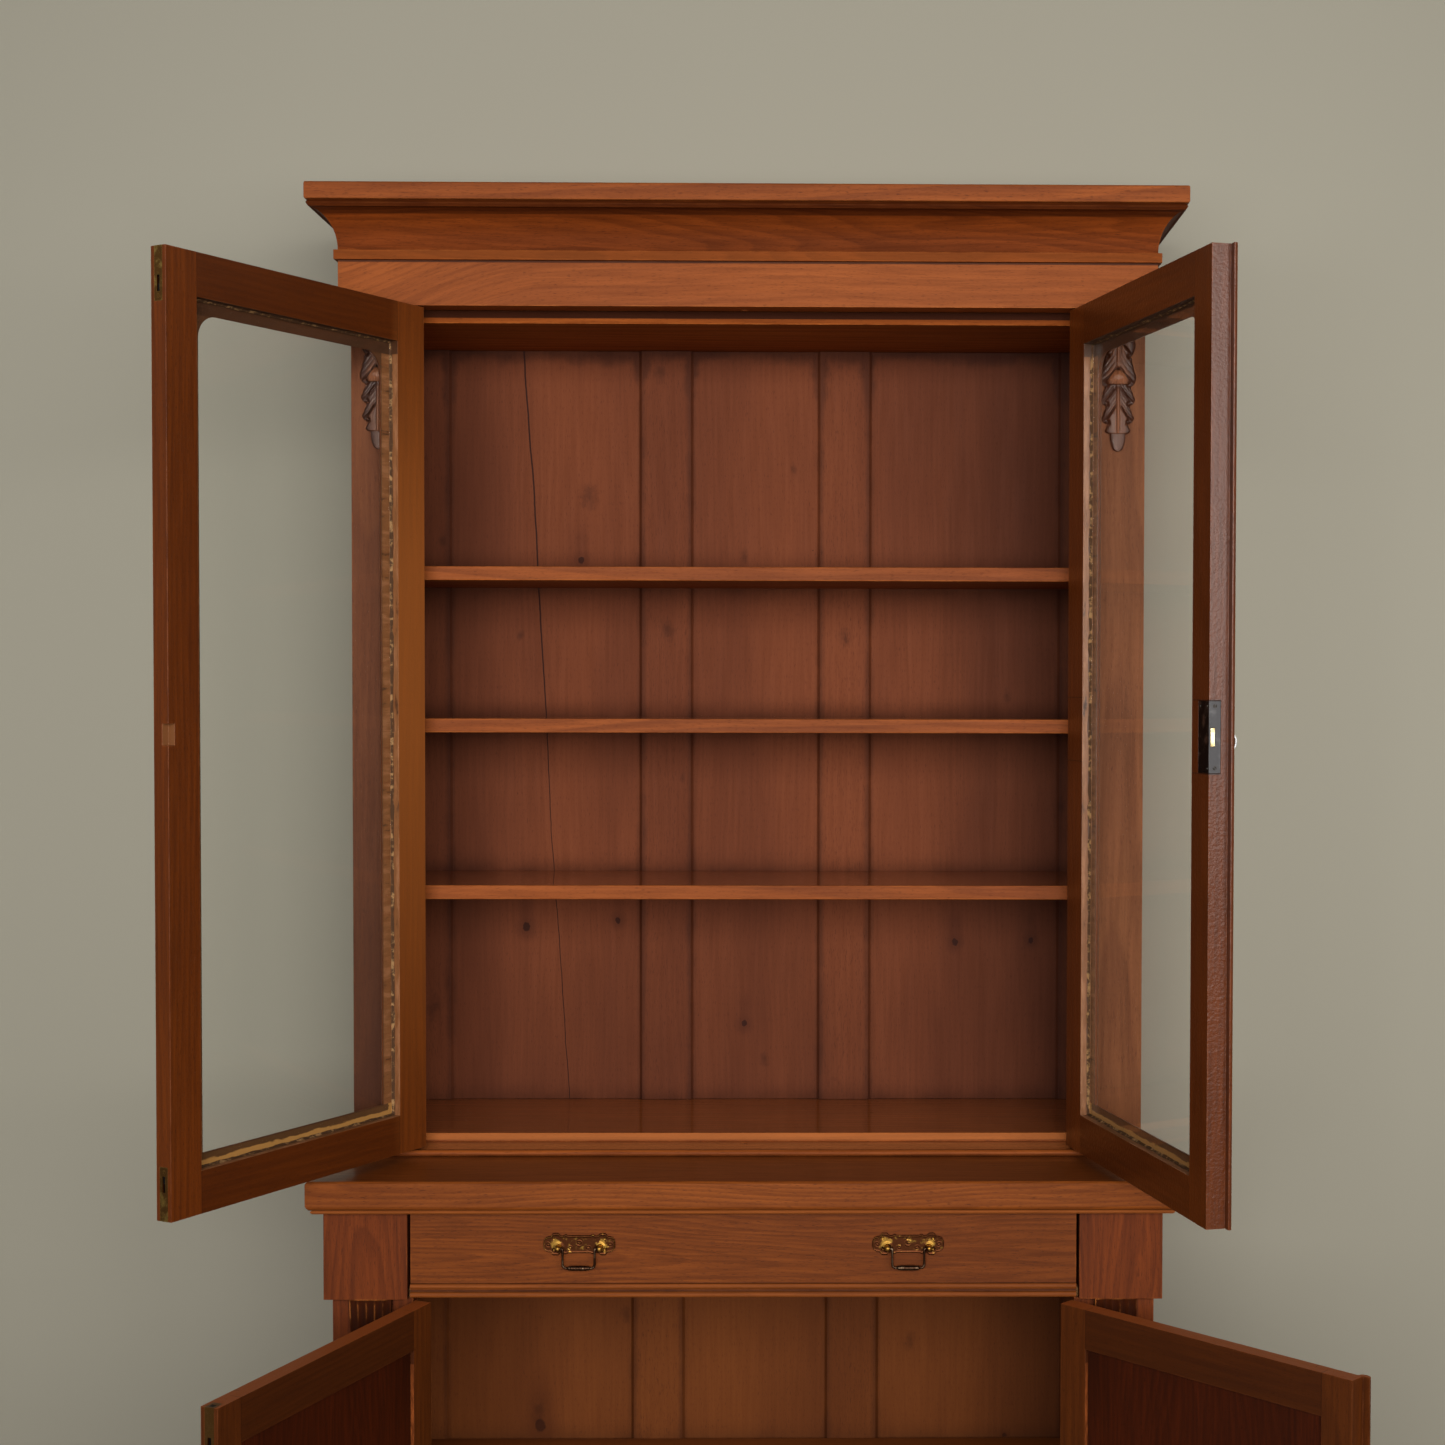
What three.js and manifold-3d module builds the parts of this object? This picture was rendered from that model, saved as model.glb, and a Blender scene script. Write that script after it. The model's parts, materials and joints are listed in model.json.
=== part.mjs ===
// A glazed bookcase on a cupboard base with one long drawer, in millimetres.
// +X is to the right, the front faces -Y and +Z is up. The origin is on the floor, midway along the back.
// The four doors stand open and the drawer is shut.

import * as THREE from 'three';
import { mergeVertices } from 'three/addons/utils/BufferGeometryUtils.js';
import Module from 'manifold-3d';

const wasm = await Module();
wasm.setup();

// Clearances
const fitGap = 0.3;
const runningGap = 0.3;
const cutOverrun = 4;

// Heights
const plinthHeight = 100;
const baseFloorThickness = 18;
const counterHeight = 915;
const counterThickness = 39;
const counterBeadThickness = 6;
const drawerTierHeight = 118;
const nosedBoardThickness = 9;
const upperFloorThickness = 12;
const upperCaseHeight = 1188;
const topBoardThickness = 18;
const friezeHeight = 63;
const corniceHeight = 76;
const capThickness = 24;

// Upper case
const upperSetIn = 24;
const upperDepth = 289;
const upperPilasterWidth = 81;
const doorStopGap = 0.5;
const sideThickness = 20;
const upperShelfThickness = 20;
const upperShelfSetback = 3;
const upperShelfTopShares = [0.3077, 0.5143, 0.7023];

// Framed backs
const backThickness = 17;
const backSetIn = 8;
const panelRecess = 5;
const panelBevel = 4;
const backMuntin = 75;
const upperBackStile = 70;
const upperMiddlePanelHalf = 99;
const baseBackStile = 56;
const baseMiddlePanelHalf = 112;

// Cornice, from the frieze face outward
const friezeOverhang = 14;
const friezeThickness = 38;
const friezeReturnThickness = 20;
const filletHeight = 13;
const filletOverhang = 5;
const coveFoot = 0.7;
const coveHeight = 53.3;
const coveReach = 31;
const coveSweepDegrees = 82;
const coveSteps = 14;
const corniceBeadSet = 2;
const corniceBeadReach = 3;
const capOverhang = 38;
const capEase = 1.5;

// Nosed board and counter
const nosedOverhangFront = 35;
const nosedOverhangSide = 12;
const noseDrop = 3;
const counterOverhangFront = 29;
const counterOverhangSide = 30;
const counterBeadSet = 8;
const counterEase = 3;
const counterHollow = 4;

// Base case
const baseHalfWidth = 552;
const baseDepth = 442;
const basePilasterWidth = 108;
const basePilasterThickness = 28;
const blockOverhang = 10;
const blockSetback = 6;
const baseShelfHeight = 409;
const baseShelfThickness = 20;
const baseShelfSetback = 14;
const plinthOverhang = 8;
const plinthThickness = 22;
const plinthBevel = 12;

// Upper doors, across from the hinge edge and up from the foot
const upperDoorThickness = 24;
const upperDoorFootGap = 2.5;
const upperDoorTopGap = 3.5;
const upperHingeStile = 73;
const upperFreeStile = 67;
const upperTopRail = 71.5;
const upperFootRail = 70.5;
const sightCornerRadius = 29;
const sightCornerSteps = 8;
const sightShoulder = 8;
const sightMouldingWidth = 6;
const sightMouldingQuirk = 1.5;
const sightMouldingSteps = 4;
const glassLap = 17;
const glassThickness = 3;
const upperDoorLeftDegrees = 118.6;
const upperDoorRightDegrees = 104;

// Base doors
const baseDoorThickness = 24;
const baseDoorFootGap = 3;
const baseDoorTopGap = 1.5;
const baseStile = 59;
const baseTopRail = 70;
const baseFootRail = 78;
const panelShoulder = 9;
const panelThickness = 10;
const baseDoorLeftDegrees = 112;
const baseDoorRightDegrees = 135;

// Meeting edges
const meetingGap = 0.75;
const meetingBeadSeat = 6;
const meetingBeadLap = 9;
const meetingBeadProud = 7;
const meetingBeadFlank = 3;
const meetingBeadClear = 0.6;

// Butt hinges, measured from the pin
const pinRadius = 1.9;
const pinBore = 2.3;
const knuckleRadius = 4;
const knuckleGap = 0.5;
const pinSetout = 4.4;
const hingeEdgeGap = 0.9;
const leafGap = 0.3;
const leafThickness = 1.5;
const leafStart = 4.7;
const leafReach = 22;
const upperHingeLength = 76;
const baseHingeLength = 64;
const hingeInset = 150;

// Locks, measured in from the free edge and in from the front face of the door
const lockHeight = 86;
const lockCaseWidth = 31;
const lockCaseFront = 14.5;
const lockPlateThickness = 2.3;
const lockPlateFront = 9;
const upperLockCentre = 588.5;
const lockBoltLength = 10;
const lockBoltHeight = 22;
const lockBoltFront = 16.5;
const lockBoltThickness = 5.5;
const keySetback = 20;
const keyDrop = 6;
const keyShankRadius = 2.2;
const keyholeRadius = 3;
const keyholeSlotWidth = 2.8;
const keyholeSlotDrop = 8.5;
const keyCavityRadius = 7.6;
const keyCavityFront = 15.8;
const keyCavityBack = 21.8;
const keyEnd = 21.4;
const keyBitReach = 7;
const keyBitThickness = 2.2;
const keyBitStart = 16.2;
const keyBitLength = 4.4;
const keyShankProud = 12.5;
const keyBowHalfWidth = 5;
const keyBowHalfHeight = 9;
const keyBowWire = 2.4;
const keepDepth = 10;
const keepHalfHeight = 13;
const keepFront = 14;

// Flush bolts, let into the free edge of the left doors
const flushBoltLength = 58;
const flushBoltSize = 6;
const flushBoltSetback = 3.4;
const flushBoltFront = 9;
const flushPocketLength = 66;
const flushPocketWidth = 12.6;
const flushKnobLength = 8;
const flushKnobWidth = 3;
const flushKnobReach = 2.6;
const flushKnobInset = 4;
const boltHoleGap = 0.8;
const friezeBoltHoleDepth = 12;
const sillBoltHoleDepth = 8;
const railBoltHoleDepth = 10;

// Drawer and its frame
const railThickness = 13;
const railSetback = 2;
const runnerWidth = 132;
const runnerBackRail = 40;
const guideHeight = 30;
const guideWidth = 11;
const drawerSideGap = 4;
const drawerFrontThickness = 22;
const drawerLipThickness = 12;
const drawerLipDrop = 10;
const drawerTopGap = 1.5;
const drawerBeadHeight = 8;
const drawerBeadProud = 4;
const drawerBeadGroove = 3.4;
const drawerBoxSetIn = 6;
const drawerBoxHeight = 86;
const drawerBackGap = 20;
const drawerSideThickness = 12;
const drawerBottomThickness = 6;
const drawerBottomLift = 5;
const drawerGrooveDepth = 6;

// Drop handles
const handleSpacing = 220;
const handleRise = 75;
const handlePlateHalfWidth = 48;
const handlePlateHalfHeight = 15;
const handlePlateThickness = 2.5;
const handlePostHalfSpan = 27.5;
const handlePostDrop = 4;
const handlePostRadius = 3.5;
const handlePostLength = 14;
const handlePivotSetout = 10;
const handlePivotRadius = 1.3;
const handlePivotBore = 1.7;
const bailHalfWidth = 21.4;
const bailRadius = 1.7;
const bailDrop = 26;
const bailCorner = 4;
const gripHalfLength = 15;
const gripRadius = 3;
const gripRibDepth = 0.5;
const gripRibCount = 8;

// Carvings
const leafLength = 192;
const leafHalfWidth = 26;
const leafRelief = 9;
const leafTopGap = 6;
const leafFromEdge = 38.5;
const corbelLength = 190;
const corbelHalfWidth = 28;
const corbelRelief = 9.5;
const corbelFromEdge = 52;

// Levels that follow
const counterUnderside = counterHeight - counterThickness;
const carcassTop = counterUnderside - counterBeadThickness;
const blockFoot = carcassTop - drawerTierHeight;
const railTop = blockFoot + railThickness;
const baseFloorTop = plinthHeight + baseFloorThickness;
const nosedBoardTop = counterHeight + nosedBoardThickness;
const upperFloorTop = nosedBoardTop + upperFloorThickness;
const upperTop = counterHeight + upperCaseHeight;
const upperCeiling = upperTop - topBoardThickness;
const friezeTop = upperTop + friezeHeight;
const corniceTop = friezeTop + corniceHeight;
const capTop = corniceTop + capThickness;

// Widths and faces that follow
const upperHalfWidth = baseHalfWidth + counterOverhangSide - upperSetIn;
const upperInnerHalf = upperHalfWidth - sideThickness;
const upperOpeningHalf = upperHalfWidth - upperPilasterWidth;
const upperPilasterThickness = upperDoorThickness + doorStopGap;
const upperCarcassFront = upperDepth - upperPilasterThickness;
const friezeHalfWidth = upperHalfWidth + friezeOverhang;
const friezeFront = upperDepth + friezeOverhang;
const baseInnerHalf = baseHalfWidth - sideThickness;
const baseOpeningHalf = baseHalfWidth - basePilasterWidth;
const baseCarcassFront = baseDepth - basePilasterThickness;
const blockInner = baseOpeningHalf + blockSetback;
const drawerHalfWidth = blockInner - drawerSideGap;
const drawerBoxHalfWidth = drawerHalfWidth - drawerBoxSetIn;
const blockFront = baseDepth + blockOverhang;
const backFront = backSetIn + backThickness;
const railFront = baseDepth - railSetback - runningGap;
const hingeLeafBack = leafGap + leafThickness;

// Joins, cuts and simple solids
function solidOf(geometry) {
  const bare = geometry.clone();
  bare.deleteAttribute('normal');
  bare.deleteAttribute('uv');
  const merged = mergeVertices(bare);
  const corners = Array.from(merged.index.array);
  const faces = [];
  for (let corner = 0; corner < corners.length; corner += 3) {
    const face = corners.slice(corner, corner + 3);
    if (new Set(face).size === 3) faces.push(...face);
  }
  return new wasm.Manifold(new wasm.Mesh({
    numProp: 3,
    vertProperties: Float32Array.from(merged.attributes.position.array),
    triVerts: Uint32Array.from(faces),
  }));
}

function geometryOf(solid) {
  const mesh = solid.getMesh();
  const geometry = new THREE.BufferGeometry();
  geometry.setAttribute('position', new THREE.BufferAttribute(mesh.vertProperties, 3));
  geometry.setIndex(new THREE.BufferAttribute(mesh.triVerts, 1));
  return geometry;
}

function joined(first, ...others) {
  return geometryOf(others.reduce((solid, other) => solid.add(solidOf(other)), solidOf(first)));
}

function cut(first, ...cutters) {
  return geometryOf(cutters.reduce((solid, cutter) => solid.subtract(solidOf(cutter)), solidOf(first)));
}

function block(x0, x1, y0, y1, z0, z1) {
  const box = new THREE.BoxGeometry(x1 - x0, y1 - y0, z1 - z0);
  return box.translate((x0 + x1) / 2, (y0 + y1) / 2, (z0 + z1) / 2);
}

function rodUp(x, y, z0, z1, radius, sides = 16) {
  const rod = new THREE.CylinderGeometry(radius, radius, z1 - z0, sides).rotateX(Math.PI / 2);
  return rod.translate(x, y, (z0 + z1) / 2);
}

function rodBack(x, z, y0, y1, radius, sides = 16) {
  const rod = new THREE.CylinderGeometry(radius, radius, y1 - y0, sides);
  return rod.translate(x, (y0 + y1) / 2, z);
}

function rodAcross(y, z, x0, x1, radius, sides = 16) {
  const rod = new THREE.CylinderGeometry(radius, radius, x1 - x0, sides).rotateZ(Math.PI / 2);
  return rod.translate((x0 + x1) / 2, y, z);
}

function shapeOf(points) {
  return new THREE.Shape(points.map(([a, b]) => new THREE.Vector2(a, b)));
}

function extrudedUp(shape, z0, z1) {
  const solid = new THREE.ExtrudeGeometry(shape, { depth: z1 - z0, bevelEnabled: false, curveSegments: 6 });
  return solid.translate(0, 0, z0);
}

function extrudedBack(shape, yFront, yBack) {
  const settings = { depth: yBack - yFront, bevelEnabled: false, curveSegments: 6 };
  const solid = new THREE.ExtrudeGeometry(shape, settings).rotateX(Math.PI / 2);
  return solid.translate(0, yBack, 0);
}

function extrudedAcross(shape, x0, x1) {
  const solid = new THREE.ExtrudeGeometry(shape, { depth: x1 - x0, bevelEnabled: false, curveSegments: 6 });
  const turn = new THREE.Matrix4().makeBasis(
    new THREE.Vector3(0, 1, 0),
    new THREE.Vector3(0, 0, 1),
    new THREE.Vector3(1, 0, 0),
  );
  return solid.applyMatrix4(turn).translate(x0, 0, 0);
}

// A left piece turned into a right one, or with other signs a top piece turned into a foot one.
function mirrored(geometry, xSign = -1, zSign = 1) {
  const copy = geometry.index ? geometry.toNonIndexed() : geometry.clone();
  copy.deleteAttribute('normal');
  copy.deleteAttribute('uv');
  copy.scale(xSign, 1, zSign);
  const { position } = copy.attributes;
  const held = new THREE.Vector3();
  const other = new THREE.Vector3();
  for (let corner = 0; corner < position.count; corner += 3) {
    held.fromBufferAttribute(position, corner + 1);
    other.fromBufferAttribute(position, corner + 2);
    position.setXYZ(corner + 1, other.x, other.y, other.z);
    position.setXYZ(corner + 2, held.x, held.y, held.z);
  }
  return copy;
}

// The closed skin of a list of points and triangles, with its faces turned outward.
function closedSolid(points, triangles) {
  const volume = triangles.reduce((sum, [a, b, c]) => {
    const normal = new THREE.Vector3().crossVectors(points[b], points[c]);
    return sum + points[a].dot(normal);
  }, 0);
  const outward = volume > 0 ? triangles : triangles.map(([a, b, c]) => [a, c, b]);
  const geometry = new THREE.BufferGeometry().setFromPoints(points);
  geometry.setIndex(outward.flat());
  return geometry;
}

// Rings with the same number of points, joined in order and closed at both ends.
// flatten turns a point of an end ring into the two coordinates of that end's plane.
function loft(rings, flatten) {
  const count = rings[0].length;
  const triangles = [];
  for (let ring = 0; ring + 1 < rings.length; ring += 1) {
    for (let step = 0; step < count; step += 1) {
      const next = (step + 1) % count;
      const low = ring * count;
      const high = low + count;
      triangles.push([low + step, low + next, high + next]);
      triangles.push([low + step, high + next, high + step]);
    }
  }
  triangles.push(...endFace(rings[0].map(flatten), 0, true));
  triangles.push(...endFace(rings.at(-1).map(flatten), (rings.length - 1) * count, false));
  return closedSolid(rings.flat(), triangles);
}

// Triangles that fill an outline, wound the way of the outline or against it.
function endFace(outline, firstPoint, against) {
  const clockwise = THREE.ShapeUtils.isClockWise(outline);
  return THREE.ShapeUtils.triangulateShape(outline, []).map(([a, b, c]) => {
    const along = THREE.ShapeUtils.isClockWise([outline[a], outline[b], outline[c]]) === clockwise;
    const face = along === against ? [a, c, b] : [a, b, c];
    return face.map((corner) => corner + firstPoint);
  });
}

// A board with a plain back edge and the same moulding on its front and both ends.
// The profile lists [overhang, height] from the foot up.
function mouldedBoard(halfWidth, depth, profile) {
  const rings = profile.map(([overhang, z]) => [
    new THREE.Vector3(-halfWidth - overhang, 0, z),
    new THREE.Vector3(-halfWidth - overhang, -depth - overhang, z),
    new THREE.Vector3(halfWidth + overhang, -depth - overhang, z),
    new THREE.Vector3(halfWidth + overhang, 0, z),
  ]);
  return loft(rings, (point) => new THREE.Vector2(point.x, point.y));
}

// A moulding run along both ends and the front, mitred at the two front corners.
function mitredMoulding(halfWidth, depth, profile) {
  const run = (xSide, yShare) => profile.map(([overhang, z]) => new THREE.Vector3(
    xSide * (halfWidth + overhang),
    -yShare * (depth + overhang),
    z,
  ));
  const rings = [run(-1, 0), run(-1, 1), run(1, 1), run(1, 0)];
  return loft(rings, (point) => new THREE.Vector2(point.x, point.z));
}

// A rectangle with rounded top corners, spread outward on every side.
function archedOutline(x0, x1, z0, z1, radius, spread) {
  const round = radius + spread;
  const left = x0 - spread + round;
  const right = x1 + spread - round;
  const top = z1 + spread - round;
  const arc = (centre, startDegrees) => Array.from({ length: sightCornerSteps + 1 }, (_, step) => {
    const angle = THREE.MathUtils.degToRad(startDegrees - (90 * step) / sightCornerSteps);
    return new THREE.Vector2(centre + round * Math.cos(angle), top + round * Math.sin(angle));
  });
  return [
    new THREE.Vector2(x0 - spread, z0 - spread),
    ...arc(left, 180),
    ...arc(right, 90),
    new THREE.Vector2(x1 + spread, z0 - spread),
  ];
}

// The sight opening of a door: straight through the shoulder, then an ovolo that widens to the front face.
function sightCutter(x0, x1, z0, z1, shoulder) {
  const stations = [[0, shoulder + cutOverrun], [0, shoulder]];
  for (let step = 1; step <= sightMouldingSteps; step += 1) {
    const angle = (Math.PI / 2) * (step / sightMouldingSteps);
    const spread = sightMouldingWidth * (1 - Math.cos(angle));
    const depth = shoulder - (shoulder - sightMouldingQuirk) * Math.sin(angle);
    stations.push([spread, depth]);
  }
  const quirk = sightMouldingWidth + sightMouldingQuirk;
  stations.push([quirk, sightMouldingQuirk], [quirk, -cutOverrun]);
  const rings = stations.map(([spread, depth]) => (
    archedOutline(x0, x1, z0, z1, sightCornerRadius, spread)
      .map((point) => new THREE.Vector3(point.x, pinSetout + depth, point.y))
  ));
  return loft(rings, (point) => new THREE.Vector2(point.x, point.z));
}

// A relief on a flat ground at y = 0, from z = 0 down to -length.
// acrossShare(u, v) and reliefShare(u, v) take u from -1 to 1 across and v from 0 at the top to 1 at the
// foot, and levels lists the values of v, one for each row.
function carvedRelief(length, halfWidth, relief, levels, columns, acrossShare, reliefShare) {
  const rows = levels.length - 1;
  const points = [];
  levels.forEach((v) => {
    for (let column = 0; column <= columns; column += 1) {
      const u = (2 * column) / columns - 1;
      const x = halfWidth * acrossShare(u, v);
      points.push(new THREE.Vector3(x, -relief * reliefShare(u, v), -length * v));
    }
  });
  const at = (row, column) => row * (columns + 1) + column;
  const triangles = [];
  for (let row = 0; row < rows; row += 1) {
    for (let column = 0; column < columns; column += 1) {
      triangles.push([at(row, column), at(row + 1, column), at(row + 1, column + 1)]);
      triangles.push([at(row, column), at(row + 1, column + 1), at(row, column + 1)]);
    }
  }
  const edge = [];
  for (let column = 0; column < columns; column += 1) edge.push(at(0, column));
  for (let row = 0; row < rows; row += 1) edge.push(at(row, columns));
  for (let column = columns; column > 0; column -= 1) edge.push(at(rows, column));
  for (let row = rows; row > 0; row -= 1) edge.push(at(row, 0));
  const ground = new Map(edge.map((corner, step) => [corner, points.length + step]));
  edge.forEach((corner) => points.push(new THREE.Vector3(points[corner].x, 0, points[corner].z)));
  edge.forEach((corner, step) => {
    const next = edge[(step + 1) % edge.length];
    triangles.push([corner, next, ground.get(next)]);
    triangles.push([corner, ground.get(next), ground.get(corner)]);
  });
  const behind = (...corners) => triangles.push(corners.map((corner) => ground.get(corner)));
  for (let column = 0; column < columns; column += 1) {
    behind(at(1, 0), at(0, column), at(0, column + 1));
    behind(at(rows - 1, 0), at(rows, column + 1), at(rows, column));
  }
  behind(at(1, 0), at(0, columns), at(1, columns));
  behind(at(rows - 1, 0), at(rows - 1, columns), at(rows, columns));
  for (let row = 1; row + 1 < rows; row += 1) {
    behind(at(row, 0), at(row, columns), at(row + 1, columns));
    behind(at(row, 0), at(row + 1, columns), at(row + 1, 0));
  }
  return closedSolid(points, triangles);
}

// Finishes
function finish(color, roughness, metalness) {
  return new THREE.MeshStandardMaterial({ color, roughness, metalness, flatShading: true });
}

const mahogany = finish('#7c4326', 0.42, 0);
const carvedMahogany = finish('#7a4529', 0.5, 0);
const backWood = finish('#6f4230', 0.62, 0);
const baseInside = finish('#7a4a26', 0.6, 0);
const drawerWood = finish('#9a7448', 0.7, 0);
const brass = finish('#a07a34', 0.38, 1);
const castBrass = finish('#7a5c2c', 0.5, 1);
const steel = finish('#54524d', 0.45, 1);
const glass = new THREE.MeshStandardMaterial({
  color: '#dfe6e0',
  roughness: 0.05,
  metalness: 0,
  transparent: true,
  opacity: 0.2,
});

const bookcase = new THREE.Group();

function piece(name, geometry, material, parent = bookcase) {
  const mesh = new THREE.Mesh(geometry, material);
  mesh.name = name;
  parent.add(mesh);
  return mesh;
}

const sides = [['left', -1], ['right', 1]];

// A geometry made for the left side, turned over for the right.
function handed(geometry, side) {
  return side > 0 ? mirrored(geometry) : geometry;
}

// Doors: the hinge pin is at x = 0 and y = 0, +x runs to the free edge, +y to the back and z = 0 is the foot.
function doorAt(openingHalf, caseDepth, foot, top, thickness, hingeLength) {
  const pin = openingHalf - hingeEdgeGap;
  const free = pin - meetingGap;
  return {
    pin,
    free,
    foot,
    thickness,
    hingeLength,
    width: free - hingeEdgeGap,
    height: top - foot,
    front: caseDepth + pinSetout,
    hingeHeights: [hingeInset, top - foot - hingeInset],
  };
}

const upperDoor = doorAt(
  upperOpeningHalf,
  upperDepth,
  nosedBoardTop + upperDoorFootGap,
  upperTop - upperDoorTopGap,
  upperDoorThickness,
  upperHingeLength,
);
const baseDoor = doorAt(
  baseOpeningHalf,
  baseDepth,
  baseFloorTop + baseDoorFootGap,
  blockFoot - baseDoorTopGap,
  baseDoorThickness,
  baseHingeLength,
);

function doorGroup(door, side, degrees) {
  const group = new THREE.Group();
  group.position.set(side * door.pin, -door.front, door.foot);
  group.rotation.z = side * THREE.MathUtils.degToRad(degrees);
  bookcase.add(group);
  return group;
}

// Butt hinges. The fixed leaf carries the pin and the outer knuckles, the moving leaf the middle knuckle.
function fixedLeaf(length) {
  const half = length / 2;
  const knuckleEnd = length / 6 + knuckleGap;
  return joined(
    rodUp(0, 0, -half, half, pinRadius, 12),
    rodUp(0, 0, -half, -knuckleEnd, knuckleRadius),
    rodUp(0, 0, knuckleEnd, half, knuckleRadius),
    block(-hingeLeafBack, -leafGap, leafStart, leafReach, -half, half),
    block(-hingeLeafBack, -leafGap, 0, leafReach, -half, -knuckleEnd),
    block(-hingeLeafBack, -leafGap, 0, leafReach, knuckleEnd, half),
  );
}

function movingLeaf(length, z) {
  const half = length / 2;
  const knuckleEnd = length / 6;
  const leaf = joined(
    rodUp(0, 0, z - knuckleEnd, z + knuckleEnd, knuckleRadius),
    block(leafGap, hingeLeafBack, 0, leafReach, z - knuckleEnd, z + knuckleEnd),
    block(leafGap, hingeLeafBack, leafStart, leafReach, z - half, z + half),
  );
  return cut(leaf, rodUp(0, 0, z - half, z + half, pinBore, 12));
}

function leafPocket(length, z) {
  const half = length / 2 + fitGap;
  const deep = -hingeLeafBack - fitGap;
  return block(deep, cutOverrun, pinSetout - cutOverrun, leafReach + fitGap, z - half, z + half);
}

// Locks: a steel case with an edge plate, let in from the back, and a bolt that slides through the plate.
function lockCase(door, centre) {
  const back = pinSetout + door.thickness;
  const low = centre - lockHeight / 2;
  const high = centre + lockHeight / 2;
  const keyX = door.free - keySetback;
  const keyZ = centre - keyDrop;
  const body = joined(
    block(door.free - lockCaseWidth, door.free, pinSetout + lockCaseFront, back, low, high),
    block(door.free - lockPlateThickness, door.free, pinSetout + lockPlateFront, back, low, high),
  );
  return cut(
    body,
    boltSpace(door, centre, fitGap, cutOverrun),
    rodBack(keyX, keyZ, pinSetout + keyCavityFront, pinSetout + keyCavityBack, keyCavityRadius, 20),
    rodBack(keyX, keyZ, pinSetout, pinSetout + keyCavityBack, keyholeRadius),
  );
}

function lockPocket(door, centre) {
  const back = pinSetout + door.thickness + cutOverrun;
  const low = centre - lockHeight / 2 - fitGap;
  const high = centre + lockHeight / 2 + fitGap;
  const edge = door.free + cutOverrun;
  const keyX = door.free - keySetback;
  const keyZ = centre - keyDrop;
  const behindPlate = door.free - lockPlateThickness - fitGap;
  return joined(
    block(door.free - lockCaseWidth - fitGap, edge, pinSetout + lockCaseFront - fitGap, back, low, high),
    block(behindPlate, edge, pinSetout + lockPlateFront - fitGap, back, low, high),
    rodBack(keyX, keyZ, -cutOverrun, back, keyholeRadius),
    block(
      keyX - keyholeSlotWidth / 2,
      keyX + keyholeSlotWidth / 2,
      -cutOverrun,
      back,
      keyZ - keyholeSlotDrop,
      keyZ,
    ),
  );
}

function boltSpace(door, centre, gap, past) {
  const half = lockBoltHeight / 2 + gap;
  const front = pinSetout + lockBoltFront;
  return block(
    door.free - lockBoltLength - gap,
    door.free + past,
    front - gap,
    front + lockBoltThickness + gap,
    centre - half,
    centre + half,
  );
}

function keepMortise(door, centre) {
  return block(
    door.free - keepDepth,
    door.free + cutOverrun,
    pinSetout + keepFront,
    pinSetout + door.thickness + cutOverrun,
    centre - keepHalfHeight,
    centre + keepHalfHeight,
  );
}

// The key lies along +y with its bow in front and its bit hanging down.
function keyShape() {
  const bowCentre = -keyShankProud - keyBowHalfWidth + keyBowWire / 2;
  const bow = new THREE.Shape();
  bow.absellipse(bowCentre, 0, keyBowHalfWidth, keyBowHalfHeight, 0, 2 * Math.PI);
  const eye = new THREE.Path();
  eye.absellipse(bowCentre, 0, keyBowHalfWidth - keyBowWire, keyBowHalfHeight - keyBowWire, 0, 2 * Math.PI);
  bow.holes.push(eye);
  const half = keyBitThickness / 2;
  return joined(
    rodBack(0, 0, -keyShankProud, keyEnd, keyShankRadius, 12),
    extrudedAcross(bow, -half, half),
    block(-half, half, keyBitStart, keyBitStart + keyBitLength, -keyBitReach, 0),
  );
}

// Flush bolts: a square bar with a thumb knob, in a pocket that is open to the free edge and to the end.
function flushBolt(door) {
  const inner = door.free - flushBoltSetback - flushBoltSize;
  const outer = door.free - flushBoltSetback;
  const front = pinSetout + flushBoltFront;
  const middle = front + flushBoltSize / 2;
  const knobFoot = door.height - flushBoltLength + flushKnobInset;
  return joined(
    block(inner, outer, front, front + flushBoltSize, door.height - flushBoltLength, door.height),
    block(
      inner,
      outer + flushKnobReach,
      middle - flushKnobWidth / 2,
      middle + flushKnobWidth / 2,
      knobFoot,
      knobFoot + flushKnobLength,
    ),
  );
}

function flushPocket(door) {
  const inner = door.free - flushBoltSetback - flushBoltSize - fitGap;
  const middle = pinSetout + flushBoltFront + flushBoltSize / 2;
  return block(
    inner,
    door.free + cutOverrun,
    middle - flushPocketWidth / 2,
    middle + flushPocketWidth / 2,
    door.height - flushPocketLength,
    door.height + cutOverrun,
  );
}

function atFoot(geometry, door) {
  return mirrored(geometry, 1, -1).translate(0, 0, door.height);
}

// The hole that a flush bolt of the closed left door enters, between two heights.
function boltHole(door, z0, z1) {
  const outer = -door.pin + door.free - flushBoltSetback;
  const front = -door.front + pinSetout + flushBoltFront;
  return block(
    outer - flushBoltSize - boltHoleGap,
    outer + boltHoleGap,
    front - boltHoleGap,
    front + flushBoltSize + boltHoleGap,
    z0,
    z1,
  );
}

// The bead along the free edge of a right-hand door, which laps the door beside it.
const bezierCrownShare = 0.75;

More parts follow.
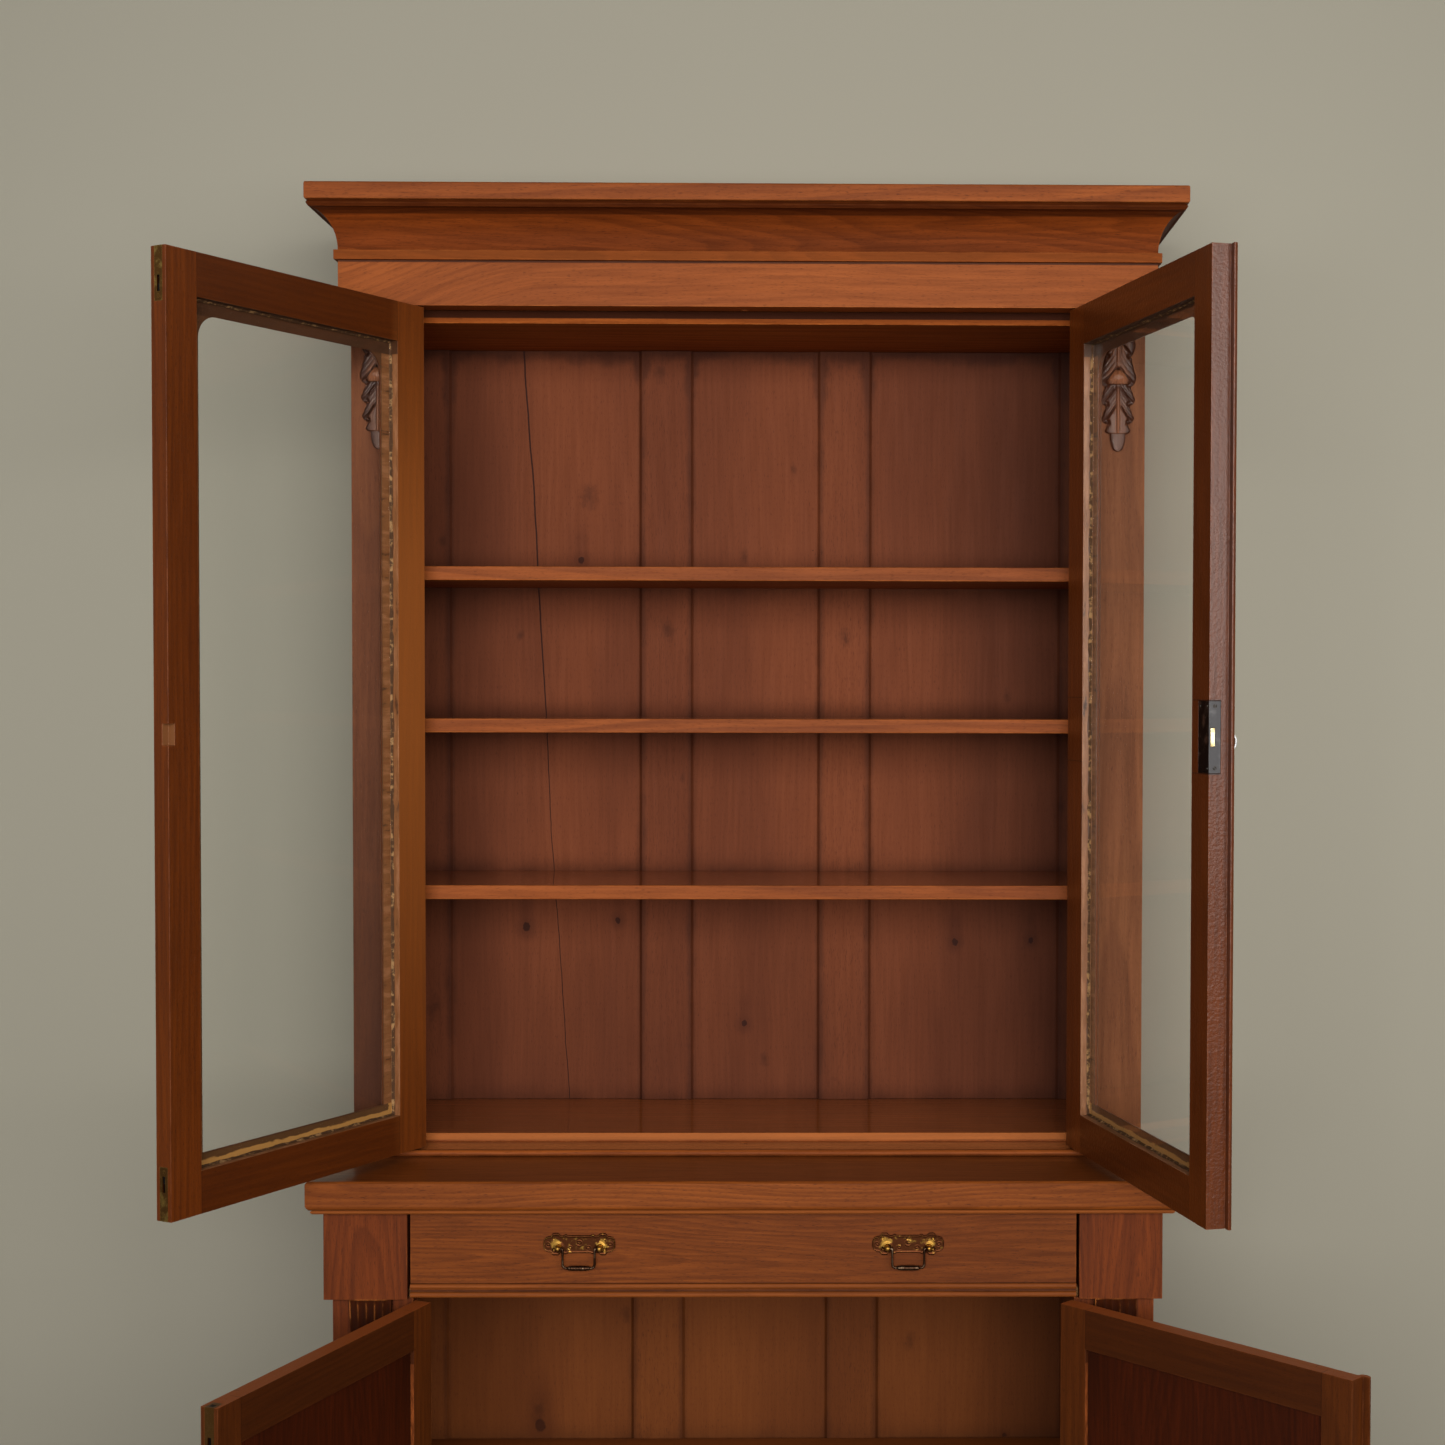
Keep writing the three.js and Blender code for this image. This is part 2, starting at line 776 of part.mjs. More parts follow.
function meetingBead(door) {
  const seat = door.free - meetingBeadSeat;
  const tip = door.free + meetingBeadLap;
  const flank = pinSetout - meetingBeadFlank;
  const crown = flank - (meetingBeadProud - meetingBeadFlank) / bezierCrownShare;
  const shape = new THREE.Shape();
  shape.moveTo(seat, pinSetout);
  shape.lineTo(seat, flank);
  shape.bezierCurveTo(seat, crown, tip, crown, tip, flank);
  shape.lineTo(tip, pinSetout - meetingBeadClear);
  shape.lineTo(door.free, pinSetout - meetingBeadClear);
  shape.lineTo(door.free, pinSetout);
  shape.lineTo(door.free - meetingBeadClear, pinSetout + meetingBeadClear);
  shape.lineTo(seat + meetingBeadClear, pinSetout + meetingBeadClear);
  return extrudedUp(shape, 0, door.height);
}

// The frame of a door, cut for what it holds. The rebate behind the shoulder laps the sight opening.
function doorFrame(door, sight, shoulder, additions, cutters) {
  const back = pinSetout + door.thickness;
  const blank = block(hingeEdgeGap, door.free, pinSetout, back, 0, door.height);
  const leaves = door.hingeHeights.map((height) => movingLeaf(door.hingeLength, height));
  const rebate = block(
    sight.x0 - glassLap,
    sight.x1 + glassLap,
    pinSetout + shoulder,
    back + cutOverrun,
    sight.z0 - glassLap,
    sight.z1 + glassLap,
  );
  const opening = sightCutter(sight.x0, sight.x1, sight.z0, sight.z1, shoulder);
  return joined(cut(joined(blank, ...additions), opening, rebate, ...cutters), ...leaves);
}

function infill(sight, shoulder, thickness) {
  const lap = glassLap - fitGap;
  const front = pinSetout + shoulder + fitGap;
  return block(sight.x0 - lap, sight.x1 + lap, front, front + thickness, sight.z0 - lap, sight.z1 + lap);
}

const upperSight = {
  x0: hingeEdgeGap + upperHingeStile,
  x1: upperDoor.free - upperFreeStile,
  z0: upperFootRail,
  z1: upperDoor.height - upperTopRail,
};
const baseSight = {
  x0: hingeEdgeGap + baseStile,
  x1: baseDoor.free - baseStile,
  z0: baseFootRail,
  z1: baseDoor.height - baseTopRail,
};

// A board of stiles, muntins and recessed panels, with every bar running its full height.
function framedBack(halfWidth, z0, z1, edges) {
  const outline = [[halfWidth, -backSetIn], [-halfWidth, -backSetIn], [-halfWidth, -backFront]];
  edges.forEach(([from, to]) => outline.push(
    [from, -backFront],
    [from + panelBevel, -backFront + panelRecess],
    [to - panelBevel, -backFront + panelRecess],
    [to, -backFront],
  ));
  outline.push([halfWidth, -backFront]);
  return extrudedUp(shapeOf(outline), z0, z1);
}

function threePanels(stileEdge, middleHalf) {
  const muntinOuter = middleHalf + backMuntin;
  return [
    [-stileEdge, -muntinOuter],
    [-middleHalf, middleHalf],
    [muntinOuter, stileEdge],
  ];
}

// Cornice
function corniceProfile() {
  const inner = -friezeReturnThickness;
  const coveStart = friezeTop + filletHeight + coveFoot;
  const sweep = THREE.MathUtils.degToRad(coveSweepDegrees);
  const profile = [
    [inner, friezeTop],
    [filletOverhang, friezeTop],
    [filletOverhang, friezeTop + filletHeight],
    [0, coveStart],
  ];
  for (let step = 1; step <= coveSteps; step += 1) {
    const angle = (sweep * step) / coveSteps;
    const reach = (coveReach * (1 - Math.cos(angle))) / (1 - Math.cos(sweep));
    const rise = (coveHeight * Math.sin(angle)) / Math.sin(sweep);
    profile.push([reach, coveStart + rise]);
  }
  const beadFoot = coveStart + coveHeight;
  profile.push(
    [coveReach + corniceBeadSet, beadFoot],
    [coveReach + corniceBeadSet + corniceBeadReach, (beadFoot + corniceTop) / 2],
    [coveReach + corniceBeadSet, corniceTop],
    [inner, corniceTop],
  );
  return profile;
}

piece('cornice_cap', mouldedBoard(friezeHalfWidth, friezeFront, [
  [capOverhang - capEase, corniceTop],
  [capOverhang, corniceTop + capEase],
  [capOverhang, capTop - capEase],
  [capOverhang - capEase, capTop],
]), mahogany);
piece('cornice_moulding', mitredMoulding(friezeHalfWidth, friezeFront, corniceProfile()), mahogany);
piece('frieze', cut(
  block(-friezeHalfWidth, friezeHalfWidth, -friezeFront, 0, upperTop, friezeTop),
  block(
    -friezeHalfWidth + friezeReturnThickness,
    friezeHalfWidth - friezeReturnThickness,
    -friezeFront + friezeThickness,
    cutOverrun,
    upperTop - cutOverrun,
    friezeTop + cutOverrun,
  ),
  boltHole(upperDoor, upperTop - cutOverrun, upperTop + friezeBoltHoleDepth),
), mahogany);

// Upper case
piece(
  'upper_top_board',
  block(-upperHalfWidth, upperHalfWidth, -upperCarcassFront, 0, upperCeiling, upperTop),
  mahogany,
);
piece(
  'upper_back',
  framedBack(
    upperInnerHalf,
    upperFloorTop,
    upperCeiling,
    threePanels(upperInnerHalf - upperBackStile, upperMiddlePanelHalf),
  ),
  backWood,
);
piece('upper_bottom', cut(
  joined(
    mouldedBoard(upperHalfWidth + nosedOverhangSide, upperDepth + nosedOverhangFront, [
      [-noseDrop, counterHeight],
      [0, counterHeight + noseDrop],
      [0, nosedBoardTop - noseDrop],
      [-noseDrop, nosedBoardTop],
    ]),
    block(-upperInnerHalf, upperInnerHalf, -upperCarcassFront, 0, nosedBoardTop - noseDrop, upperFloorTop),
  ),
  boltHole(upperDoor, nosedBoardTop - sillBoltHoleDepth, nosedBoardTop + cutOverrun),
), mahogany);
upperShelfTopShares.forEach((share, index) => {
  const shelf = block(
    -upperInnerHalf,
    upperInnerHalf,
    -upperCarcassFront + upperShelfSetback,
    -backFront,
    -upperShelfThickness,
    0,
  );
  const mesh = piece(`upper_shelf_${index + 1}`, shelf, mahogany);
  mesh.position.z = upperFloorTop + share * (upperCeiling - upperFloorTop);
});

sides.forEach(([word, side]) => {
  const board = block(
    -upperHalfWidth,
    -upperInnerHalf,
    -upperCarcassFront,
    0,
    nosedBoardTop,
    upperCeiling,
  );
  piece(`upper_side_${word}`, handed(board, side), mahogany);
  const pockets = upperDoor.hingeHeights.map((height) => (
    leafPocket(upperHingeLength, upperDoor.foot + height).translate(-upperDoor.pin, -upperDoor.front, 0)
  ));
  const pilaster = cut(
    block(
      -upperHalfWidth,
      -upperOpeningHalf,
      -upperDepth,
      -upperCarcassFront,
      nosedBoardTop,
      upperTop,
    ),
    ...pockets,
  );
  piece(`upper_pilaster_${word}`, handed(pilaster, side), mahogany);
});

// Carved leaf drops: an upper leaf whose tip curls forward, a lower leaf under it and a plain tongue.
// Each lobe of the edge swells to a drooping tip: its end, its width at the notches and its width at the tip.
const leafLobeShares = [
  [0.32, 0.6, 0.95],
  [0.525, 0.76, 1],
  [0.665, 0.72, 0.94],
  [0.8, 0.66, 0.88],
  [0.87, 0.55, 0.7],
];
const leafLobeRows = 6;
const leafColumns = 16;
const leafLobeDroopShare = 2.2;
const leafLobeRoundShare = 0.75;
const leafTipLiftShare = 0.16;
const leafBodyShare = 0.4;
const leafSwellShare = 0.35;
const leafEdgePower = 5;
const leafFluteCount = 3;
const leafEdgeReliefShare = 0.28;
const leafCrownShare = 0.42;
const leafFluteShare = 0.12;
const leafLeastShare = 0.12;
const curlShare = 0.46;
const curlSpreadShare = 0.045;
const curlWidthShare = 0.6;
const curlProudShare = 0.3;
const tuckStartShare = 0.52;
const tuckShare = 0.2;
const tuckLengthShare = 0.12;
const tongueShare = leafLobeShares.at(-1)[0];
const tongueTipShare = 0.1;
const tongueWidthShare = 0.32;

// Rows that are closer together towards the tip of each lobe and of the tongue.
function leafLevels() {
  const levels = [0];
  [...leafLobeShares.map(([end]) => end), 1].forEach((end) => {
    const start = levels.at(-1);
    for (let step = 1; step <= leafLobeRows; step += 1) {
      levels.push(start + (end - start) * Math.sin((Math.PI / 2) * (step / leafLobeRows)));
    }
  });
  return levels;
}

// The lobe that a level lies in, and how far along it, from 0 to 1.
function leafLobeAt(v) {
  const index = leafLobeShares.findIndex(([end]) => v <= end);
  if (index < 0) return null;
  const [end, narrow, wide] = leafLobeShares[index];
  const start = index > 0 ? leafLobeShares[index - 1][0] : 0;
  return { narrow, wide, along: (v - start) / (end - start) };
}

// A lobe moves only the edge of the leaf, and its middle follows a smooth swelling body.
function leafAcrossShare(u, v) {
  const lobe = leafLobeAt(v);
  if (!lobe) {
    const along = (v - tongueShare) / (1 - tongueShare);
    return u * (tongueTipShare + tongueWidthShare * Math.sqrt(Math.max(0, 1 - along * along)));
  }
  const swelling = Math.max(0, Math.sin(Math.PI * lobe.along ** leafLobeDroopShare)) ** leafLobeRoundShare;
  const edge = lobe.narrow + (lobe.wide - lobe.narrow) * swelling;
  const body = leafBodyShare + leafSwellShare * Math.sin(Math.PI * v);
  return u * (body + (edge - body) * Math.abs(u) ** (leafEdgePower - 1));
}

function leafReliefShare(u, v) {
  const crown = leafEdgeReliefShare + leafCrownShare * Math.sqrt(Math.max(0, 1 - u * u));
  const flutes = leafFluteShare * Math.cos(leafFluteCount * Math.PI * u) * Math.sin(Math.PI * v);
  const along = (v - curlShare) / curlSpreadShare;
  const across = u / curlWidthShare;
  const curl = curlProudShare * Math.exp(-(along ** 2) - across ** 4);
  const tuck = v > tuckStartShare ? tuckShare * Math.exp((tuckStartShare - v) / tuckLengthShare) : 0;
  const lobe = leafLobeAt(v);
  const lift = lobe ? leafTipLiftShare * (2 * lobe.along - 1) * u * u : 0;
  return Math.max(leafLeastShare, crown + flutes + curl + lift - tuck);
}

sides.forEach(([word, side]) => {
  const leaf = carvedRelief(
    leafLength,
    leafHalfWidth,
    leafRelief,
    leafLevels(),
    leafColumns,
    leafAcrossShare,
    leafReliefShare,
  );
  const mesh = piece(`leaf_drop_${word}`, leaf, carvedMahogany);
  mesh.position.set(side * (upperHalfWidth - leafFromEdge), -upperDepth, upperTop - leafTopGap);
});

// Counter
const counterProfile = [
  [-counterBeadSet, carcassTop],
  [-counterBeadSet + counterEase, carcassTop + counterBeadThickness / 2],
  [-counterBeadSet, counterUnderside],
  [-counterHollow, counterUnderside],
  [-counterEase / 2, counterUnderside + counterEase],
  [0, counterUnderside + 2 * counterEase],
  [0, counterHeight - counterEase],
  [-counterEase, counterHeight],
];
piece('counter_top', mouldedBoard(
  baseHalfWidth + counterOverhangSide,
  baseDepth + counterOverhangFront,
  counterProfile,
), mahogany);

// Base case
sides.forEach(([word, side]) => {
  const board = block(
    -baseHalfWidth,
    -baseInnerHalf,
    -baseCarcassFront,
    0,
    baseFloorTop,
    carcassTop,
  );
  piece(`base_side_${word}`, handed(board, side), mahogany);
  const pockets = baseDoor.hingeHeights.map((height) => (
    leafPocket(baseHingeLength, baseDoor.foot + height).translate(-baseDoor.pin, -baseDoor.front, 0)
  ));
  const pilaster = cut(
    block(-baseHalfWidth, -baseOpeningHalf, -baseDepth, -baseCarcassFront, baseFloorTop, blockFoot),
    ...pockets,
  );
  piece(`base_pilaster_${word}`, handed(pilaster, side), mahogany);
  const cornerBlock = block(
    -baseHalfWidth - blockOverhang,
    -blockInner,
    -blockFront,
    -baseCarcassFront,
    blockFoot,
    carcassTop,
  );
  piece(`corner_block_${word}`, handed(cornerBlock, side), mahogany);
});

// Carved corbels below the corner blocks: a fluted head that narrows to a rounded foot.
const corbelRows = 18;
const corbelColumns = 20;
const corbelFluteCount = 5;
const corbelStemShare = 0.62;
const corbelNeckShare = 0.67;
const corbelRoundShare = 0.88;
const corbelTipShare = 0.12;
const corbelHeadShare = 0.82;
const corbelFallShare = 0.5;
const corbelHollowShare = 0.7;
const corbelFluteShare = 0.14;
const corbelFadeShare = 0.6;

function corbelAcrossShare(u, v) {
  const turn = (Math.PI / 2) * Math.min(1, v / corbelNeckShare);
  const narrowing = corbelStemShare + (1 - corbelStemShare) * Math.cos(turn);
  const along = Math.max(0, v - corbelRoundShare) / (1 - corbelRoundShare);
  return u * Math.max(corbelTipShare, narrowing * Math.sqrt(Math.max(0, 1 - along ** 2)));
}

function corbelReliefShare(u, v) {
  const body = corbelHeadShare - corbelFallShare * v ** corbelHollowShare;
  const flute = corbelFluteShare * Math.cos(corbelFluteCount * Math.PI * u);
  return body + flute * (1 - corbelFadeShare * v);
}

sides.forEach(([word, side]) => {
  const corbel = carvedRelief(
    corbelLength,
    corbelHalfWidth,
    corbelRelief,
    Array.from({ length: corbelRows + 1 }, (_, row) => Math.sin((Math.PI / 2) * (row / corbelRows))),
    corbelColumns,
    corbelAcrossShare,
    corbelReliefShare,
  );
  const mesh = piece(`base_corbel_${word}`, corbel, carvedMahogany);
  mesh.position.set(side * (baseHalfWidth - corbelFromEdge), -baseDepth, blockFoot);
});

piece('base_back', framedBack(
  baseInnerHalf,
  baseFloorTop,
  carcassTop,
  threePanels(baseInnerHalf - baseBackStile, baseMiddlePanelHalf),
), baseInside);
piece('base_shelf', block(
  -baseInnerHalf,
  baseInnerHalf,
  -baseCarcassFront + baseShelfSetback,
  -backFront,
  baseShelfHeight - baseShelfThickness,
  baseShelfHeight,
), baseInside);
piece(
  'base_floor',
  block(-baseHalfWidth, baseHalfWidth, -baseDepth, 0, plinthHeight, baseFloorTop),
  baseInside,
);
piece('plinth', cut(
  mouldedBoard(baseHalfWidth, baseDepth, [
    [plinthOverhang, 0],
    [plinthOverhang, plinthHeight - plinthBevel],
    [0, plinthHeight],
  ]),
  block(
    -baseHalfWidth + plinthThickness,
    baseHalfWidth - plinthThickness,
    -baseDepth + plinthThickness,
    -plinthThickness,
    -cutOverrun,
    plinthHeight + cutOverrun,
  ),
), mahogany);

// Drawer frame: a front rail, two wide runners and a back rail in one, with a guide beside each drawer side.
const guideInner = drawerBoxHalfWidth + 2 * runningGap;
piece('drawer_frame', cut(
  joined(
    block(-baseInnerHalf, baseInnerHalf, -baseCarcassFront, -backFront, blockFoot, railTop),
    block(-blockInner, blockInner, -railFront, -baseCarcassFront + cutOverrun, blockFoot, railTop),
    block(
      -guideInner - guideWidth,
      -guideInner,
      -baseCarcassFront,
      -backFront,
      railTop - railThickness / 2,
      railTop + guideHeight,
    ),
    block(
      guideInner,
      guideInner + guideWidth,
      -baseCarcassFront,
      -backFront,
      railTop - railThickness / 2,
      railTop + guideHeight,
    ),
  ),
  block(
    -baseInnerHalf + runnerWidth,
    baseInnerHalf - runnerWidth,
    -baseCarcassFront + runnerBackRail,
    -backFront - runnerBackRail,
    blockFoot - cutOverrun,
    railTop + cutOverrun,
  ),
  boltHole(baseDoor, blockFoot - cutOverrun, blockFoot + railBoltHoleDepth),
), drawerWood);

// Hinges, each at its door's pin
[['upper', upperDoor], ['base', baseDoor]].forEach(([tier, door]) => {
  sides.forEach(([word, side]) => {
    door.hingeHeights.forEach((height, index) => {
      const place = index === 0 ? 'foot' : 'top';
      const mesh = piece(
        `hinge_${tier}_${word}_${place}`,
        handed(fixedLeaf(door.hingeLength), side),
        brass,
      );
      mesh.position.set(side * door.pin, -door.front, door.foot + height);
    });
  });
});

// Upper doors
const baseLockCentre = baseDoor.height / 2;
const upperLeft = doorGroup(upperDoor, -1, upperDoorLeftDegrees);
const upperBolt = flushBolt(upperDoor);
piece('upper_door_frame_left', doorFrame(upperDoor, upperSight, sightShoulder, [], [
  flushPocket(upperDoor),
  atFoot(flushPocket(upperDoor), upperDoor),
  keepMortise(upperDoor, upperLockCentre),
]), mahogany, upperLeft);
piece('upper_glass_left', infill(upperSight, sightShoulder, glassThickness), glass, upperLeft);
piece('flush_bolt_upper_top', upperBolt, brass, upperLeft);
piece('flush_bolt_upper_foot', atFoot(upperBolt, upperDoor), brass, upperLeft);

const upperRight = doorGroup(upperDoor, 1, upperDoorRightDegrees);
piece('upper_door_frame_right', mirrored(doorFrame(
  upperDoor,
  upperSight,
  sightShoulder,
  [meetingBead(upperDoor)],
  [lockPocket(upperDoor, upperLockCentre)],
)), mahogany, upperRight);
piece('upper_glass_right', mirrored(infill(upperSight, sightShoulder, glassThickness)), glass, upperRight);
piece('lock_case_upper', mirrored(lockCase(upperDoor, upperLockCentre)), steel, upperRight);
piece('lock_bolt_upper', mirrored(boltSpace(upperDoor, upperLockCentre, 0, 0)), brass, upperRight);
const key = piece('key', keyShape(), steel, upperRight);
key.position.set(-(upperDoor.free - keySetback), pinSetout, upperLockCentre - keyDrop);

// Base doors
const baseLeft = doorGroup(baseDoor, -1, baseDoorLeftDegrees);
piece('base_door_frame_left', doorFrame(baseDoor, baseSight, panelShoulder, [], [
  flushPocket(baseDoor),
  keepMortise(baseDoor, baseLockCentre),
]), mahogany, baseLeft);
piece('base_panel_left', infill(baseSight, panelShoulder, panelThickness), mahogany, baseLeft);
piece('flush_bolt_base', flushBolt(baseDoor), brass, baseLeft);

const baseRight = doorGroup(baseDoor, 1, baseDoorRightDegrees);
piece('base_door_frame_right', mirrored(doorFrame(
  baseDoor,
  baseSight,
  panelShoulder,
  [meetingBead(baseDoor)],
  [lockPocket(baseDoor, baseLockCentre)],
)), mahogany, baseRight);
piece('base_panel_right', mirrored(infill(baseSight, panelShoulder, panelThickness)), mahogany, baseRight);
piece('lock_case_base', mirrored(lockCase(baseDoor, baseLockCentre)), steel, baseRight);
piece('lock_bolt_base', mirrored(boltSpace(baseDoor, baseLockCentre, 0, 0)), brass, baseRight);

// Drawer
const drawerFoot = railTop + runningGap;
const drawerTop = carcassTop - drawerTopGap;
const drawerBack = blockFront - drawerFrontThickness;

function drawerFrontProfile() {
  const beadSteps = 5;
  const lipFoot = railTop - drawerLipDrop;
  const profile = [
    [-drawerBack, drawerTop],
    [-drawerBack, drawerFoot],
    [-blockFront + drawerLipThickness, drawerFoot],
    [-blockFront + drawerLipThickness, lipFoot],
  ];
  const beadFeet = [lipFoot, lipFoot + drawerBeadHeight + drawerBeadGroove];
  beadFeet.forEach((foot) => {
    for (let step = 0; step <= beadSteps; step += 1) {
      const angle = (Math.PI * step) / beadSteps;
      const half = drawerBeadHeight / 2;
      profile.push([
        -blockFront - drawerBeadProud * Math.sin(angle),
        foot + half - half * Math.cos(angle),
      ]);
    }
  });
  profile.push([-blockFront, drawerTop]);
  return shapeOf(profile);
}

piece('drawer_front', extrudedAcross(drawerFrontProfile(), -drawerHalfWidth, drawerHalfWidth), mahogany);

const drawerEnd = backFront + drawerBackGap;
const grooveFoot = drawerFoot + drawerBottomLift;
const grooveTop = grooveFoot + drawerBottomThickness + 2 * fitGap;
const drawerInner = drawerBoxHalfWidth - drawerSideThickness;
piece('drawer_box', cut(
  block(
    -drawerBoxHalfWidth,
    drawerBoxHalfWidth,
    -drawerBack,
    -drawerEnd,
    drawerFoot,
    drawerFoot + drawerBoxHeight,
  ),
  block(
    -drawerInner,
    drawerInner,
    -drawerBack - cutOverrun,
    -drawerEnd - drawerSideThickness,
    drawerFoot - cutOverrun,
    drawerFoot + drawerBoxHeight + cutOverrun,
  ),
  block(
    -drawerInner - drawerGrooveDepth,
    drawerInner + drawerGrooveDepth,
    -drawerBack - cutOverrun,
    -drawerEnd + cutOverrun,
    grooveFoot,
    grooveTop,
  ),
  block(-drawerInner, drawerInner, -drawerBack, -drawerEnd + cutOverrun, drawerFoot - cutOverrun, grooveTop),
), drawerWood);
piece('drawer_bottom', block(
  -drawerInner - drawerGrooveDepth + fitGap,
  drawerInner + drawerGrooveDepth - fitGap,
  -drawerBack + fitGap,
  -drawerEnd,
  grooveFoot + fitGap,
  grooveTop - fitGap,
), drawerWood);

// Handle plates: a winged outline, here its upper right quarter as shares of the half width and half height.
const plateOutlineShares = [
  [0.52, 0.78],
  [0.6, 1],
  [0.74, 1],
  [0.82, 0.72],
  [0.93, 0.62],
  [1, 0.2],
];

function handlePlate() {
  const quarter = plateOutlineShares.map(([a, b]) => [a * handlePlateHalfWidth, b * handlePlateHalfHeight]);
  const back = [...quarter].reverse();
  const outline = [
    ...quarter,
    ...back.map(([x, z]) => [x, -z]),
    ...quarter.map(([x, z]) => [-x, -z]),
    ...back.map(([x, z]) => [-x, z]),
  ];
  const solid = [extrudedBack(shapeOf(outline), -handlePlateThickness, 0)];
  [-1, 1].forEach((side) => {
    const x = side * handlePostHalfSpan;
    solid.push(rodBack(x, -handlePostDrop, -handlePostLength, 0, handlePostRadius, 14));
  });
  const boreEnd = 2 * handlePostHalfSpan;
  const bore = rodAcross(-handlePivotSetout, -handlePostDrop, -boreEnd, boreEnd, handlePivotBore, 10);
  return cut(joined(...solid), bore);
}

// The bail hangs from the posts: two pivots, two arms with rounded bends and a ribbed grip.
function bail() {
  const pivotEnd = handlePostHalfSpan + handlePostRadius;
  const bend = bailHalfWidth - bailCorner;
  const at = (x, z) => new THREE.Vector3(x, 0, z);
  const wire = new THREE.CurvePath();
  wire.add(new THREE.LineCurve3(at(-bailHalfWidth, 0), at(-bailHalfWidth, bailCorner - bailDrop)));
  wire.add(new THREE.QuadraticBezierCurve3(
    at(-bailHalfWidth, bailCorner - bailDrop),
    at(-bailHalfWidth, -bailDrop),
    at(-bend, -bailDrop),
  ));
  wire.add(new THREE.LineCurve3(at(-bend, -bailDrop), at(bend, -bailDrop)));
  wire.add(new THREE.QuadraticBezierCurve3(
    at(bend, -bailDrop),
    at(bailHalfWidth, -bailDrop),
    at(bailHalfWidth, bailCorner - bailDrop),
  ));
  wire.add(new THREE.LineCurve3(at(bailHalfWidth, bailCorner - bailDrop), at(bailHalfWidth, 0)));
  const section = new THREE.Shape();
  section.absarc(0, 0, bailRadius, 0, 2 * Math.PI);
  const arms = new THREE.ExtrudeGeometry(section, { steps: 28, curveSegments: 4, extrudePath: wire });
  const ribSteps = 4;
  const ribs = [new THREE.Vector2(0, -gripHalfLength)];
  for (let step = 0; step <= gripRibCount * ribSteps; step += 1) {
    const wave = Math.abs(Math.sin((Math.PI * step) / ribSteps));
    const along = (2 * gripHalfLength * step) / (gripRibCount * ribSteps) - gripHalfLength;
    ribs.push(new THREE.Vector2(gripRadius - gripRibDepth * (1 - wave), along));
  }
  ribs.push(new THREE.Vector2(0, gripHalfLength));
  const grip = new THREE.LatheGeometry(ribs, 10).rotateZ(Math.PI / 2).translate(0, 0, -bailDrop);
  return joined(
    arms,
    rodAcross(0, 0, -pivotEnd, -bailHalfWidth + bailRadius / 2, handlePivotRadius, 8),
    rodAcross(0, 0, bailHalfWidth - bailRadius / 2, pivotEnd, handlePivotRadius, 8),
    grip,
  );
}

sides.forEach(([word, side]) => {
  const handle = new THREE.Group();
  handle.position.set(side * handleSpacing, -blockFront, blockFoot + handleRise);
  bookcase.add(handle);
  piece(`handle_plate_${word}`, handlePlate(), castBrass, handle);
  const hanging = piece(`handle_bail_${word}`, bail(), castBrass, handle);
  hanging.position.set(0, -handlePivotSetout, -handlePostDrop);
});

export default bookcase;
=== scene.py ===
# %% [markdown]
# # A glazed mahogany bookcase on a cupboard base
#
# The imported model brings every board, door, hinge and lock at its real size, so this lesson is about looks:
# old mahogany under a satin varnish, stained softwood inside, tarnished brass, dark steel and window glass.
# The lengths here are in metres, because that is Blender's unit, and MM turns a size in millimetres into one.

# %% Load the frame
import json
import math

import bpy
from mathutils import Matrix, Vector, noise


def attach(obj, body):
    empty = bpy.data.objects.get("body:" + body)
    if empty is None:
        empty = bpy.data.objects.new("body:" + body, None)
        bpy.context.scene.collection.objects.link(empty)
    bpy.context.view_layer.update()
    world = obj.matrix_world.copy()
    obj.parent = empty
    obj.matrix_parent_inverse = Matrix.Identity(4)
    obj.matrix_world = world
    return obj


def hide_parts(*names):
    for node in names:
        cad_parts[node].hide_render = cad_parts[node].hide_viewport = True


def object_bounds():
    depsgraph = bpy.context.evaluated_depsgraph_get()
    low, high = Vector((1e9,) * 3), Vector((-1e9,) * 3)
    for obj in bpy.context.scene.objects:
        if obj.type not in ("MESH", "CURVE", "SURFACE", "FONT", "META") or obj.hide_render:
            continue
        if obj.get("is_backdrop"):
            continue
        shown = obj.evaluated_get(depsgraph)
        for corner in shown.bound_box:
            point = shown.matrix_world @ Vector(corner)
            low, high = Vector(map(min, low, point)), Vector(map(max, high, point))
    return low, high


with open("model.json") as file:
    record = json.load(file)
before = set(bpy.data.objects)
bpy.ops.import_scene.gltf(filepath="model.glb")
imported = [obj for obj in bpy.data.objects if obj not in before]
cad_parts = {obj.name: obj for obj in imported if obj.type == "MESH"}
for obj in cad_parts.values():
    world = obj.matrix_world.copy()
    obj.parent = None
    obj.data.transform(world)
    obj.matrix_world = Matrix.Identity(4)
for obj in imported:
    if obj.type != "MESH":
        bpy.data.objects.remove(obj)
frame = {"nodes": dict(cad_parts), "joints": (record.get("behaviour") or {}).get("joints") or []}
cad_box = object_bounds()
NODES = frame["nodes"]
JOINTS = {joint["name"]: joint for joint in frame["joints"]}
MM = 0.001
print("nodes:", len(NODES), "joints:", len(JOINTS))

# %% [markdown]
# ## Camera
#
# The photograph was taken standing, a little right of the middle and a little above mid height, looking
# slightly down. Its picture is a crop, so the middle of the lens isn't the middle of the frame: that is what
# the camera's shift is for.

# %% Camera
PHOTO_SIDE = 1445
SENSOR_WIDTH = 36
FOCAL_PIXELS = 2093.84
LENS_CENTRE = (852.27, 734.77)
CAMERA_PLACE = Vector((0.11018, -3.24079, 1.57962))
YAW = math.radians(0.69)
PITCH = math.radians(-1.44)
ROLL = math.radians(0.12)


